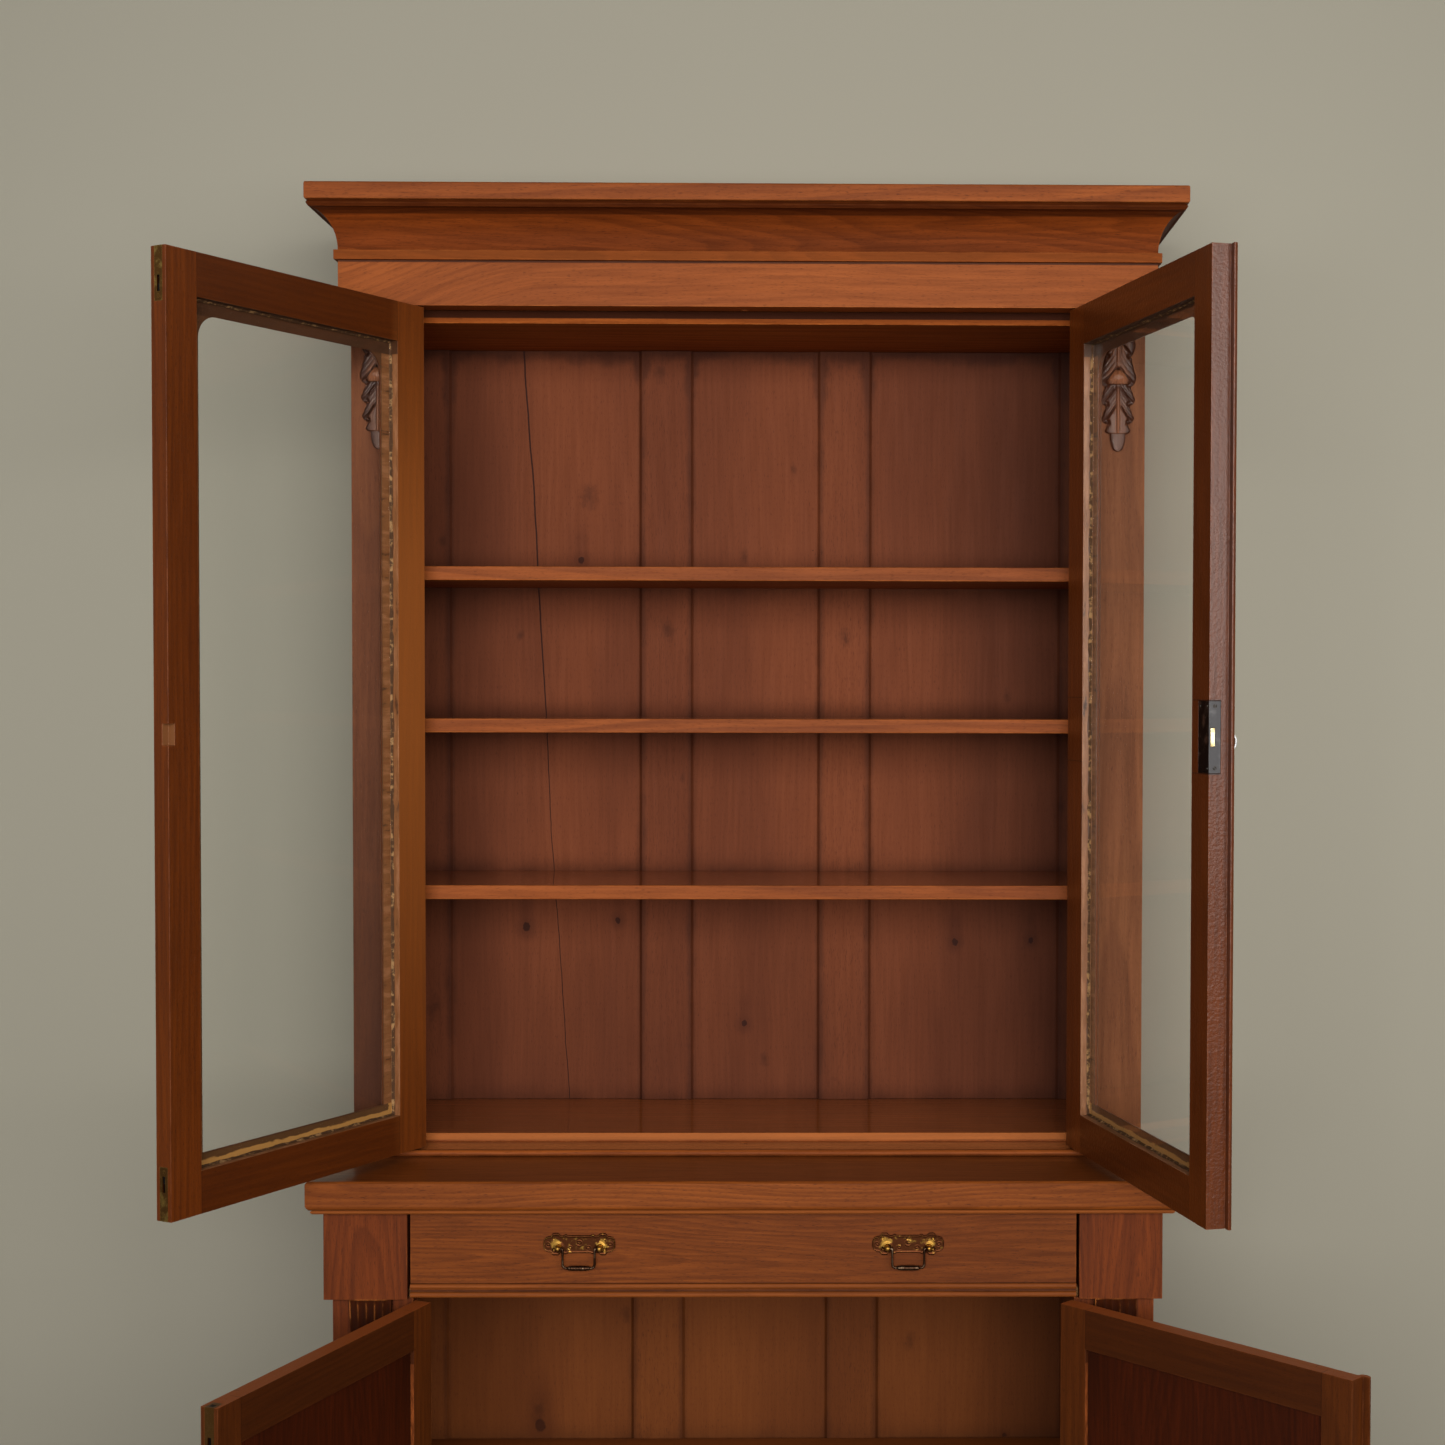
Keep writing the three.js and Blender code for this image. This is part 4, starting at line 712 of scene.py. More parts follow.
# %% Boards of the case
CORNICE_MITRE = 0.269
PLINTH_MITRE = 0.11
QUIET = {"Ring_Spacing": 0.008, "Wander": 0.005, "Lean": 0.02}
WAVY = {"Ring_Spacing": 0.0054, "Wander": 0.011, "Lean": 0.035}
ARCHED = {"Ring_Spacing": 0.0085, "Wander": 0.0075, "Lean": 0.012, "sweep": (-0.28, -0.64, 0.1)}
CARCASS = {
    "cornice_cap": (MAHOGANY, ALONG_X, (-2.02, 0.9, 0.04), QUIET, 1.2, None),
    "cornice_moulding": (COVE_MAHOGANY, ALONG_X, (-2.2, 0.38, 0.4), WAVY, 0.5, CORNICE_MITRE),
    "frieze": (FRIEZE_MAHOGANY, ALONG_X, (-2.02, 0.5, 0), ARCHED, 0.6, CORNICE_MITRE),
    "upper_top_board": (TOP_MAHOGANY, ALONG_X, (0.3, 0.9, 0.1), QUIET, 0.8, None),
    "upper_side_left": (DEEP_MAHOGANY, UPRIGHT, (0.6, 0.7, 0.3), QUIET, 0.8, None),
    "upper_side_right": (DEEP_MAHOGANY, UPRIGHT, (0.1, 0.8, 0.2), QUIET, 0.8, None),
    "upper_pilaster_left": (SHADED_MAHOGANY, UPRIGHT, (0.55, 0.6, 0.1), QUIET, 0.8, None),
    "upper_pilaster_right": (DIM_MAHOGANY, UPRIGHT, (-0.5, 0.74, 0.7), QUIET, 0.8, None),
    "upper_shelf_1": (SHELF_MAHOGANY, ALONG_X, (-1.28, 0.6, 0.1), QUIET, 1.4, None),
    "upper_shelf_2": (SHELF_MAHOGANY, ALONG_X, (-1.4, 0.5, 0.6), QUIET, 1.4, None),
    "upper_shelf_3": (SHELF_MAHOGANY, ALONG_X, (-1.9, 0.6, 0.3), QUIET, 1.4, None),
    "upper_bottom": (SHELF_MAHOGANY, ALONG_X, (0.15, 0.9, 0.2), QUIET, 1.2, None),
    "counter_top": (COUNTER_MAHOGANY, ALONG_X, (-0.91, 0.44, 0.8), WAVY, 0.8, None),
    "base_side_left": (DEEP_MAHOGANY, UPRIGHT, (0.3, 0.7, 0.9), QUIET, 0.8, None),
    "base_side_right": (DEEP_MAHOGANY, UPRIGHT, (0.9, 0.4, 0.5), QUIET, 0.8, None),
    "base_pilaster_left": (DEEP_MAHOGANY, UPRIGHT, (0.2, 0.6, 0.3), QUIET, 0.8, None),
    "base_pilaster_right": (DEEP_MAHOGANY, UPRIGHT, (0.8, 0.7, 0.1), QUIET, 0.8, None),
    "corner_block_left": (SMOKY_MAHOGANY, UPRIGHT, (0.5, 0.5, 0.35), WAVY, 0.8, None),
    "corner_block_right": (SMOKY_MAHOGANY, UPRIGHT, (-0.52, 0.49, 0.15), WAVY, 0.8, None),
    "plinth": (DEEP_MAHOGANY, ALONG_X, (0.35, 0.9, 0.65), QUIET, 0.8, PLINTH_MITRE),
    "drawer_front": (DRAWER_MAHOGANY, ALONG_X, (-0.8, 0.41, 0.3), WAVY, 0.5, None),
}

# Painted light and shade in bands of z: the lit fillet under the cove and the shaded top of the cove, the
# frieze's shadow on the front of the top board and a shadow line under the fillet, the lit noses of the upper
# bottom and the counter with a shade line, and the lit beads and shaded creases of the drawer front.
LIGHT_BANDS = {
    "cornice_moulding": [(2.1655, 2.1792, "bare", 0.25), (2.2262, 2.2412, "dirt_and_shade", 0.6)],
    "upper_top_board": [(2.0925, 2.104, "dirt_and_shade", 0.93)],
    "frieze": [(2.163, 2.1665, "dirt_and_shade", 0.8)],
    "upper_bottom": [(0.9262, 0.9358, "bare", 0.4)],
    "counter_top": [(0.8695, 0.8762, "bare", 0.4), (0.8757, 0.8772, "dirt_and_shade", 0.6)],
    "drawer_front": [
        (0.7545, 0.7622, "bare", 0.2),
        (0.763, 0.7655, "dirt_and_shade", 0.6),
        (0.7662, 0.7735, "bare", 0.2),
        (0.7737, 0.775, "dirt_and_shade", 0.55),
    ],
}
for node, (look, turn, offset, figure, width, mitre) in CARCASS.items():
    material = wood("wood_" + node, look, turn, offset, mitre, LIGHT_BANDS.get(node, ()), **figure)
    dress(node, material, width * MM)
BASE_BOARDS = ("base_shelf", "base_floor")
BASE_TREE = (0.4, 0.5, 0.2)
DRAWER_BOARDS = ("drawer_box", "drawer_bottom", "drawer_frame")
DRAWER_TREE = (0.1, 0.5, 0.5)
THIN_EDGE = 0.5 * MM
for node in BASE_BOARDS:
    dress(node, wood("wood_" + node, BASE_STAIN, ALONG_X, BASE_TREE, **QUIET))
for node in DRAWER_BOARDS:
    dress(node, wood("wood_" + node, DRAWER_WOOD, ALONG_Y, DRAWER_TREE, **QUIET), THIN_EDGE)
print("boards:", len(CARCASS) + len(BASE_BOARDS) + len(DRAWER_BOARDS))

# %% [markdown]
# ## Back boards
#
# The back of the case is pine stained to match: quiet straight grain, a few knots with a halo where the
# branch grew, a fine crack down the left panel and the small dark heads of the nails. A knot pushes the grain
# aside, so the point is moved away from the knot before the grain looks at it.

# %% Back boards
UPPER_KNOTS = [
    (-0.267, 1.766, 0.005),
    (-0.351, 1.202, 0.0056),
    (-0.2155, 1.212, 0.0042),
    (-0.025, 1.053, 0.0048),
    (0.2945, 1.179, 0.0048),
    (0.408, 1.182, 0.004),
]
UPPER_MARKS = [
    (-0.135, 1.658, 0.017),
    (0.1385, 1.647, 0.015),
    (-0.018, 1.769, 0.011),
    (0.0585, 1.903, 0.009),
    (-0.361, 1.65, 0.009),
    (-0.478, 1.793, 0.01),
    (-0.254, 1.862, 0.02),
    (-0.146, 2.053, 0.014),
    (-0.1115, 1.431, 0.008),
    (0.0145, 0.998, 0.011),
    (-0.495, 1.078, 0.02),
    (0.47, 1.39, 0.013),
    (0.387, 1.56, 0.01),
]
BASE_KNOTS = [(-0.332, 0.428, 0.0085), (0.381, 0.411, 0.003)]
BASE_MARKS = [(-0.335, 0.452, 0.02), (-0.2, 0.6, 0.012), (0.24, 0.56, 0.014)]
UPPER_PANEL_EDGES = (0.099, 0.174, 0.468)
BASE_PANEL_EDGES = (0.112, 0.187, 0.476)
UPPER_TOP = 2.085
BASE_TOP = 0.87
BACK_TREE = (0.9, 0.4, 0.1)
CRACK = [
    (-0.2863, 0.94),
    (-0.2929, 1.047),
    (-0.3038, 1.215),
    (-0.3137, 1.35),
    (-0.3209, 1.529),
    (-0.3308, 1.691),
    (-0.3374, 1.844),
    (-0.3465, 1.963),
    (-0.354, 2.083),
]
CRACK_HALF_WIDTHS = (0.6 * MM, 1.15 * MM)
CRACK_LEVELS = (1.35, 1.75)
KNOT_NOISE = {"Scale": 130.0, "Detail": 3}
KNOT_SHAKE = (6 * MM, 0, 6 * MM)
KNOT_TAIL = (4 * MM, 35 * MM)
KNOT_NARROW = (-0.5, 0.8)
KNOT_PUSH = -0.75
CORE_LEVELS = (1.1, 0.75)
HALO_LEVELS = (4.0, 1.0)


def make_knot():
    group, start, end = new_group("knot", [
        ("Vector", "Vector", None),
        ("Place", "Vector", (0, 0, 0)),
        ("Radius", "Float", 0.006),
    ], [("Vector", "Vector"), ("Core", "Float"), ("Halo", "Float")])
    rough = add_node(group, "ShaderNodeTexNoise", {"Vector": start["Vector"], **KNOT_NOISE})
    centred = vector_maths(group, "SUBTRACT", rough.outputs["Color"], MIDDLE)
    shaken = vector_maths(group, "MULTIPLY_ADD", centred, KNOT_SHAKE, start["Vector"])
    x, y, z = split(group, vector_maths(group, "SUBTRACT", shaken, start["Place"]))
    narrow = maths(group, "MULTIPLY_ADD", ramp(group, z, *KNOT_TAIL), *KNOT_NARROW)
    ring = vector_maths(group, "LENGTH", joined(group, x, 0.0, maths(group, "MULTIPLY", z, narrow)))
    nearness = maths(group, "DIVIDE", start["Radius"], maths(group, "ADD", ring, start["Radius"]))
    push = maths(group, "MULTIPLY", x, maths(group, "MULTIPLY", nearness, KNOT_PUSH))
    aside = vector_maths(group, "ADD", start["Vector"], joined(group, push, 0.0, 0.0))
    group.links.new(aside, end["Vector"])
    share = maths(group, "DIVIDE", ring, start["Radius"])
    group.links.new(ramp(group, share, *CORE_LEVELS), end["Core"])
    group.links.new(ramp(group, share, *HALO_LEVELS), end["Halo"])
    return group


KNOT = make_knot()

# %% [markdown]
# ## Age of the back boards
#
# Little of what a back board shows is wood. Smoke and damp crept out of the joints and down from the top,
# hands and books left stains, and the sides and the foot get painted shade, as they lie further from the
# light. Each of these is a mask of its own, and a mask only says where a darker tone goes.

# %% Age of the back boards
SIDE_SHADES = [(-1, 0.24, 0.35), (1, 0.144, 0.6)]
SHADE_END = 0.56
LOW_SHADE = (1.4, 0.92)
LOW_DARKNESS = 0.26
SMOKE_NOISE = {"Scale": 16.0, "Detail": 5, "Roughness": 0.6}
SMOKE_REACH = (0.05, -0.012)
SMOKE_HEIGHT = 110 * MM
LEAST_SMOKE = 0.3
SMOKE_BLUR = 6 * MM
TOP_SMOKE = (12 * MM, -10 * MM)
STAIN_NOISE = {"Scale": 75.0, "Detail": 4, "Roughness": 0.6}
STAIN_TALL = 0.6
STAIN_RAGGED = 1.6
STAIN_EDGE = (1.7, 0.7)
NAIL_CELLS = {"Scale": 9.0, "Randomness": 0.9}
NAIL_HEAD = (0.014, 0.009)
CRACK_WIGGLE = {"Scale": 14.0, "Detail": 4}
CRACK_SWING = (5 * MM, -2.5 * MM)
CRACK_EDGE = (1.5, 0.6)
DARKNESS = {"halo": 0.45, "core": 0.75, "smoke": 0.5, "stain": 0.42, "nail": 0.7, "crack": 0.9}


# Painted shade: darker towards both sides, the right more, and towards the foot.
def shade_mask(tree, x, z):
    darkest = maths(tree, "MULTIPLY", ramp(tree, z, *LOW_SHADE), LOW_DARKNESS)
    for side, start, darkness in SIDE_SHADES:
        far = maths(tree, "MULTIPLY", ramp(tree, x, side * start, side * SHADE_END), darkness)
        darkest = maths(tree, "MAXIMUM", far, darkest)
    return darkest


def smoke_mask(tree, place, panel_edges, top):
    """Ragged strips along the joints, wider towards the top, and one under the ceiling of the case."""
    x, y, z = split(tree, place)
    across = maths(tree, "ABSOLUTE", x)
    nearest = 1.0
    for edge in panel_edges:
        away = maths(tree, "ABSOLUTE", maths(tree, "SUBTRACT", across, edge))
        nearest = maths(tree, "MINIMUM", away, nearest)
    blotch = add_node(tree, "ShaderNodeTexNoise", {"Vector": place, **SMOKE_NOISE})
    spread = maths(tree, "MULTIPLY_ADD", blotch.outputs[0], *SMOKE_REACH)
    high = ramp(tree, z, top - SMOKE_HEIGHT, top)
    reach = maths(tree, "MULTIPLY", spread, maths(tree, "MULTIPLY_ADD", high, 1 - LEAST_SMOKE, LEAST_SMOKE))
    beside = ramp(tree, maths(tree, "SUBTRACT", nearest, reach), SMOKE_BLUR, -SMOKE_BLUR)
    from_top = maths(tree, "SUBTRACT", maths(tree, "SUBTRACT", top, z), spread)
    return maths(tree, "MAXIMUM", beside, ramp(tree, from_top, *TOP_SMOKE))


def stain_mask(tree, place, marks):
    x, y, z = split(tree, place)
    ragged = add_node(tree, "ShaderNodeTexNoise", {"Vector": place, **STAIN_NOISE})
    stain = 0.0
    for mark_x, mark_z, radius in marks:
        beside = maths(tree, "SUBTRACT", x, mark_x)
        above = maths(tree, "MULTIPLY", maths(tree, "SUBTRACT", z, mark_z), STAIN_TALL)
        away = vector_maths(tree, "LENGTH", joined(tree, beside, above, 0.0))
        uneven = maths(tree, "MULTIPLY_ADD", ragged.outputs[0], radius * STAIN_RAGGED, away)
        outer, inner = (radius * share for share in STAIN_EDGE)
        stain = maths(tree, "MAXIMUM", ramp(tree, uneven, outer, inner), stain)
    return stain


def nail_mask(tree, place):
    cell = vector_maths(tree, "MULTIPLY", place, (1, 0, 1))
    nail = add_node(tree, "ShaderNodeTexVoronoi", {"Vector": cell, **NAIL_CELLS})
    return ramp(tree, nail.outputs["Distance"], *NAIL_HEAD)


def crack_mask(tree, place, crack):
    """The crack runs through measured points and wavers between them, wider towards its top."""
    x, y, z = split(tree, place)
    path = crack[0][0]
    for (x_low, z_low), (x_high, z_high) in zip(crack, crack[1:]):
        step = add_node(tree, "ShaderNodeMapRange", {
            "Value": z,
            "From Min": z_low,
            "From Max": z_high,
            "To Max": x_high - x_low,
        })
        path = maths(tree, "ADD", step.outputs[0], path)
    wiggle = add_node(tree, "ShaderNodeTexNoise", {"Vector": joined(tree, 0.0, 0.0, z), **CRACK_WIGGLE})
    path = maths(tree, "ADD", path, maths(tree, "MULTIPLY_ADD", wiggle.outputs[0], *CRACK_SWING))
    away = maths(tree, "ABSOLUTE", maths(tree, "SUBTRACT", x, path))
    narrow, wide = CRACK_HALF_WIDTHS
    opening = maths(tree, "MULTIPLY_ADD", ramp(tree, z, *CRACK_LEVELS), wide - narrow, narrow)
    return ramp(tree, maths(tree, "DIVIDE", away, opening), *CRACK_EDGE)


def back_wood(name, look, knots, marks, panel_edges, top, crack=None):
    material, tree = tree_of(name)
    place = add_node(tree, "ShaderNodeTexCoord").outputs["Object"]
    x, y, z = split(tree, place)
    point, cores, halos = place, 0.0, 0.0
    for knot_x, knot_z, radius in knots:
        knot = place_group(tree, KNOT, Vector=point, Place=(knot_x, 0, knot_z), Radius=radius)
        point = knot["Vector"]
        cores = maths(tree, "MAXIMUM", knot["Core"], cores)
        halos = maths(tree, "MAXIMUM", knot["Halo"], halos)
    grain = place_group(tree, GRAIN, Vector=point, Offset=BACK_TREE, **QUIET)
    colour, grime_and_shade_mask = wood_colour(tree, place, grain, look)
    colour = tinted(tree, halos, DARKNESS["halo"], colour, look["dark"])
    colour = tinted(tree, cores, DARKNESS["core"], colour, look["dirt_and_shade"])
    # Painted shade towards the sides and the foot.
    colour = mixed(tree, shade_mask(tree, x, z), colour, look["dirt_and_shade"])
    masks = {
        "smoke": smoke_mask(tree, place, panel_edges, top),
        "stain": stain_mask(tree, place, marks),
        "nail": nail_mask(tree, place),
    }
    if crack:
        masks["crack"] = crack_mask(tree, place, crack)
    for kind, mask in masks.items():
        colour = tinted(tree, mask, DARKNESS[kind], colour, look["dirt_and_shade"])
    finish_wood(tree, colour, grime_and_shade_mask, grain, look)
    return material


UPPER_AGE = (UPPER_KNOTS, UPPER_MARKS, UPPER_PANEL_EDGES, UPPER_TOP, CRACK)
BASE_AGE = (BASE_KNOTS, BASE_MARKS, BASE_PANEL_EDGES, BASE_TOP)
dress("upper_back", back_wood("wood_upper_back", BACK_STAIN, *UPPER_AGE))
dress("base_back", back_wood("wood_base_back", BASE_STAIN, *BASE_AGE))
print("knots:", len(UPPER_KNOTS) + len(BASE_KNOTS))

# %% [markdown]
# ## Doors
#
# A door's frame is made of stiles, which run its full height, and rails between them, so the grain changes
# direction at the joint and a fine dark line shows there. The group turns a point into the door's own space:
# x from the hinge pin across the door, y from front to back and z from its foot. That keeps the pattern fixed
# to the door, whichever way it stands open. The rebate that takes the glass was never varnished: it is bare,
# pale wood with old putty along the pane.

# %% Doors
FRAME_FRONT = 4.4 * MM
REBATE_LAP = 17 * MM
BEHIND_FACE = (-0.3 * MM, -0.1 * MM)
RAIL_END = (0.1 * MM, 0.3 * MM)
FRAME_OUTSIDE = (0.2 * MM, 0.0)
JOINT_LINE = (0.6 * MM, 0.2 * MM)
RAW_START = (-0.4 * MM, -0.2 * MM)
UPPER_DOOR = {
    "foot": 926.5 * MM,
    "height": 1173 * MM,
    "free": 475.35 * MM,
    "thickness": 24 * MM,
    "sight": (73.9 * MM, 408.35 * MM, 70.5 * MM, 1101.5 * MM),
    "shoulder": 8 * MM,
    "hinge_heights": (150 * MM, 1023 * MM),
    "hinge_length": 76 * MM,
}
BASE_DOOR = {
    "foot": 121 * MM,
    "height": 629.5 * MM,
    "free": 442.35 * MM,
    "thickness": 24 * MM,
    "sight": (59.9 * MM, 383.35 * MM, 78 * MM, 559.5 * MM),
    "shoulder": 9 * MM,
    "hinge_heights": (150 * MM, 479.5 * MM),
    "hinge_length": 64 * MM,
}
DOORS = {
    "upper_door_left": UPPER_DOOR,
    "upper_door_right": UPPER_DOOR,
    "base_door_left": BASE_DOOR,
    "base_door_right": BASE_DOOR,
}


def door_stance(name):
    """The place of the pin, the side of the case and the angle at which the door stands open."""
    joint = JOINTS[name + "_swing"]
    side = -1 if name.endswith("left") else 1
    pin = Vector((*joint["pos_m"][:2], DOORS[name]["foot"]))
    return pin, side, -side * math.radians(joint["range_deg"][0])


def door_space(tree, name):
    pin, side, angle = door_stance(name)
    place = add_node(tree, "ShaderNodeTexCoord").outputs["Object"]
    turned = add_node(tree, "ShaderNodeMapping", {
        "Vector": place,
        "Location": pin,
        "Rotation": (0, 0, angle),
        "Scale": (-side, 1, 1),
    }, vector_type="TEXTURE")
    return turned.outputs[0]


def make_door_joinery():
    """Which part of the frame a point lies in. Bounds are x and z of the sight opening."""
    group, start, end = new_group("door_joinery", [
        ("Vector", "Vector", None),
        ("Left", "Float", 0.07),
        ("Right", "Float", 0.4),
        ("Foot", "Float", 0.07),
        ("Top", "Float", 1.1),
        ("Shoulder", "Float", 0.0124),
    ], [("Rail", "Float"), ("Joint", "Float"), ("Raw", "Float"), ("Depth", "Float"), ("Inset", "Float"),
        ("Upright", "Float")])
    x, y, z = split(group, start["Vector"])
    depth = maths(group, "SUBTRACT", y, start["Shoulder"])
    behind = ramp(group, depth, *BEHIND_FACE, smooth=False)
    grow = maths(group, "MULTIPLY", behind, REBATE_LAP)
    from_left = maths(group, "ADD", maths(group, "SUBTRACT", x, start["Left"]), grow)
    from_right = maths(group, "ADD", maths(group, "SUBTRACT", start["Right"], x), grow)
    from_foot = maths(group, "ADD", maths(group, "SUBTRACT", z, start["Foot"]), grow)
    from_top = maths(group, "ADD", maths(group, "SUBTRACT", start["Top"], z), grow)
    across = maths(group, "MINIMUM", from_left, from_right)
    along = maths(group, "MINIMUM", from_foot, from_top)
    inset = maths(group, "MINIMUM", across, along)
    group.links.new(ramp(group, across, *RAIL_END, smooth=False), end["Rail"])
    outside = ramp(group, along, *FRAME_OUTSIDE, smooth=False)
    line = ramp(group, maths(group, "ABSOLUTE", across), *JOINT_LINE)
    group.links.new(maths(group, "MULTIPLY", line, outside), end["Joint"])
    inner = ramp(group, inset, *RAW_START, smooth=False)
    group.links.new(maths(group, "MULTIPLY", inner, behind), end["Raw"])
    group.links.new(depth, end["Depth"])
    group.links.new(inset, end["Inset"])
    group.links.new(maths(group, "GREATER_THAN", along, REBATE_LAP), end["Upright"])
    return group


DOOR_JOINERY = make_door_joinery()
RAW_WOOD = {
    "pale": rgb(132, 84, 48),
    "worn": rgb(164, 112, 76),
    "putty": rgb(64, 38, 20),
    "lit": rgb(186, 134, 72),
}
ORANGE_WOOD = {
    "pale": rgb(104, 50, 20),
    "worn": rgb(168, 88, 40),
    "putty": rgb(70, 32, 12),
    "lit": rgb(150, 80, 36),
}

# %% [markdown]
# ## Bare wood in the rebates
#
# The glazier never varnished the rebate, so its wood is pale, streaked and smeared. Putty clings to the pane
# and to the outer rim. The ledge that lies flat at the foot of the opening is painted paler, as if daylight
# fell on it, and the rebate under the top rail and the lip along the sight edge get painted shade in the
# putty colour.

# %% Bare wood in the rebates
SMEAR = {"stretch": (1, 1, 0.22), "noise": {"Scale": 90.0, "Detail": 5, "Roughness": 0.65}}
WORN_LEVELS = (0.45, 0.68)
PUTTY_LEVELS = (0.42, 0.3)
VARNISH_LEVELS = (0.5, 0.75)
VARNISH_SHARE = 0.5
SMEAR_REACH = (13 * MM, 0.2 * MM)
SMEAR_EDGE = (1.2 * MM, -0.6 * MM)
PANE_SEAT = (1 * MM, 3 * MM)
LEDGE_DEPTH = (2 * MM, 1 * MM)
BORDER_RAGGED = -14 * MM
BORDER_EDGE = (0.0, 1.6 * MM)
SHADED_ROOF_START = REBATE_LAP * 0.1
SHADED_LIP = (REBATE_LAP - 2.2 * MM, REBATE_LAP - 1.2 * MM)
PUTTY_SHARES = {"pane": 0.9, "border": 0.9, "shaded_roof": 0.96, "shaded_lip": 0.8}


def bare_wood(tree, board, height, grain, part, door, raw, varnish):
    left, right, foot, top = door["sight"]
    patch = drawn_out(tree, board, SMEAR)[0]
    bare = mixed(tree, ramp(tree, patch, *WORN_LEVELS), raw["pale"], raw["worn"])
    bare = mixed(tree, ramp(tree, patch, *PUTTY_LEVELS), bare, raw["putty"])
    bare = tinted(tree, ramp(tree, grain["Streak"], *VARNISH_LEVELS), VARNISH_SHARE, bare, varnish)
    smear = maths(tree, "SUBTRACT", part["Depth"], maths(tree, "MULTIPLY_ADD", patch, *SMEAR_REACH))
    near_pane = maths(tree, "MULTIPLY", ramp(tree, smear, *SMEAR_EDGE), ramp(tree, part["Depth"], *PANE_SEAT))
    bare = tinted(tree, near_pane, PUTTY_SHARES["pane"], bare, raw["putty"])
    flat = maths(tree, "SUBTRACT", 1.0, part["Upright"])
    ledge = maths(tree, "MULTIPLY", ramp(tree, part["Depth"], *LEDGE_DEPTH), flat)
    # Painted daylight on the flat ledge, strongest at the foot.
    bare = tinted(tree, ledge, ramp(tree, height, top, foot), bare, raw["lit"])
    border = ramp(tree, maths(tree, "MULTIPLY_ADD", patch, BORDER_RAGGED, part["Inset"]), *BORDER_EDGE)
    stained = maths(tree, "MULTIPLY", border, ledge)
    bare = tinted(tree, stained, PUTTY_SHARES["border"], bare, raw["putty"])
    # Painted shade under the top rail, in the putty colour.
    shaded_roof = ramp(tree, height, top - SHADED_ROOF_START, top)
    bare = tinted(tree, shaded_roof, PUTTY_SHARES["shaded_roof"], bare, raw["putty"])
    # Painted shade along the lip at the sight edge, in the putty colour.
    return tinted(tree, ramp(tree, part["Inset"], *SHADED_LIP), PUTTY_SHARES["shaded_lip"], bare, raw["putty"])


# %% [markdown]
# ## Door woods
#
# A frame takes its colour from the part of it that a point lies in: stile, rail, joint line or rebate. Some
# doors carry one mark more, such as the mortise for the other door's bolt, a pale stretch of painted light on
# the hinge stile, or the dark line round a let-in plate. The upper edges of the base doors are painted paler,
# as if lit from above.

# %% Door woods
RAIL_DARKNESS = 0.45
JOINT_DARKNESS = 0.75
LIT_TOP_TURN = (0.8, 0.95)
LIT_TOP_SHARE = 0.7
LIT_STILE_FROM = (-0.15, 0.7)
LIT_STILE_TO = (1.3, 0.75)
MORTISE_SHARE = 0.8
PLATE_LINE = 1.2 * MM
PLATE_FRONT = (12.5 * MM, 13.2 * MM)
PLATE_DARKNESS = 0.95
RAW_SHARE = 0.9
RAW_DULLNESS = 0.8


def painted_lit_top(tree, colour, raw):
    """Painted light: the upper edges of the base doors are painted paler, in the colour of worn wood, as if
    lit from above.
    """
    upward = split(tree, add_node(tree, "ShaderNodeTexCoord").outputs["Normal"])[2]
    return tinted(tree, ramp(tree, upward, *LIT_TOP_TURN), LIT_TOP_SHARE, colour, raw["worn"])


# Painted light: the middle of the hinge stile is painted paler, as if lit.
def painted_lit_stile(tree, colour, x, height, left, share):
    hinge_stile = ramp(tree, x, left, left - REBATE_LAP)
    middle = maths(tree, "MULTIPLY", ramp(tree, height, *LIT_STILE_FROM), ramp(tree, height, *LIT_STILE_TO))
    return tinted(tree, maths(tree, "MULTIPLY", hinge_stile, middle), share, colour, MAHOGANY["bare"])


def cut_mortise(tree, colour, local, sides):
    hole = 1.0
    for value, (low, high) in zip(split(tree, local), sides):
        hole = maths(tree, "MULTIPLY", within(tree, value, low, high), hole)
    return tinted(tree, hole, MORTISE_SHARE, colour, RAW_WOOD["pale"])


def line_round_plate(tree, colour, y, height, plate, dirt_and_shade):
    foot, top = plate
    gaps = [(foot - PLATE_LINE, foot), (top, top + PLATE_LINE)]
    below, above = (within(tree, height, low, high) for low, high in gaps)
    gap = maths(tree, "MULTIPLY", maths(tree, "MAXIMUM", below, above), ramp(tree, y, *PLATE_FRONT))
    return tinted(tree, gap, PLATE_DARKNESS, colour, dirt_and_shade)


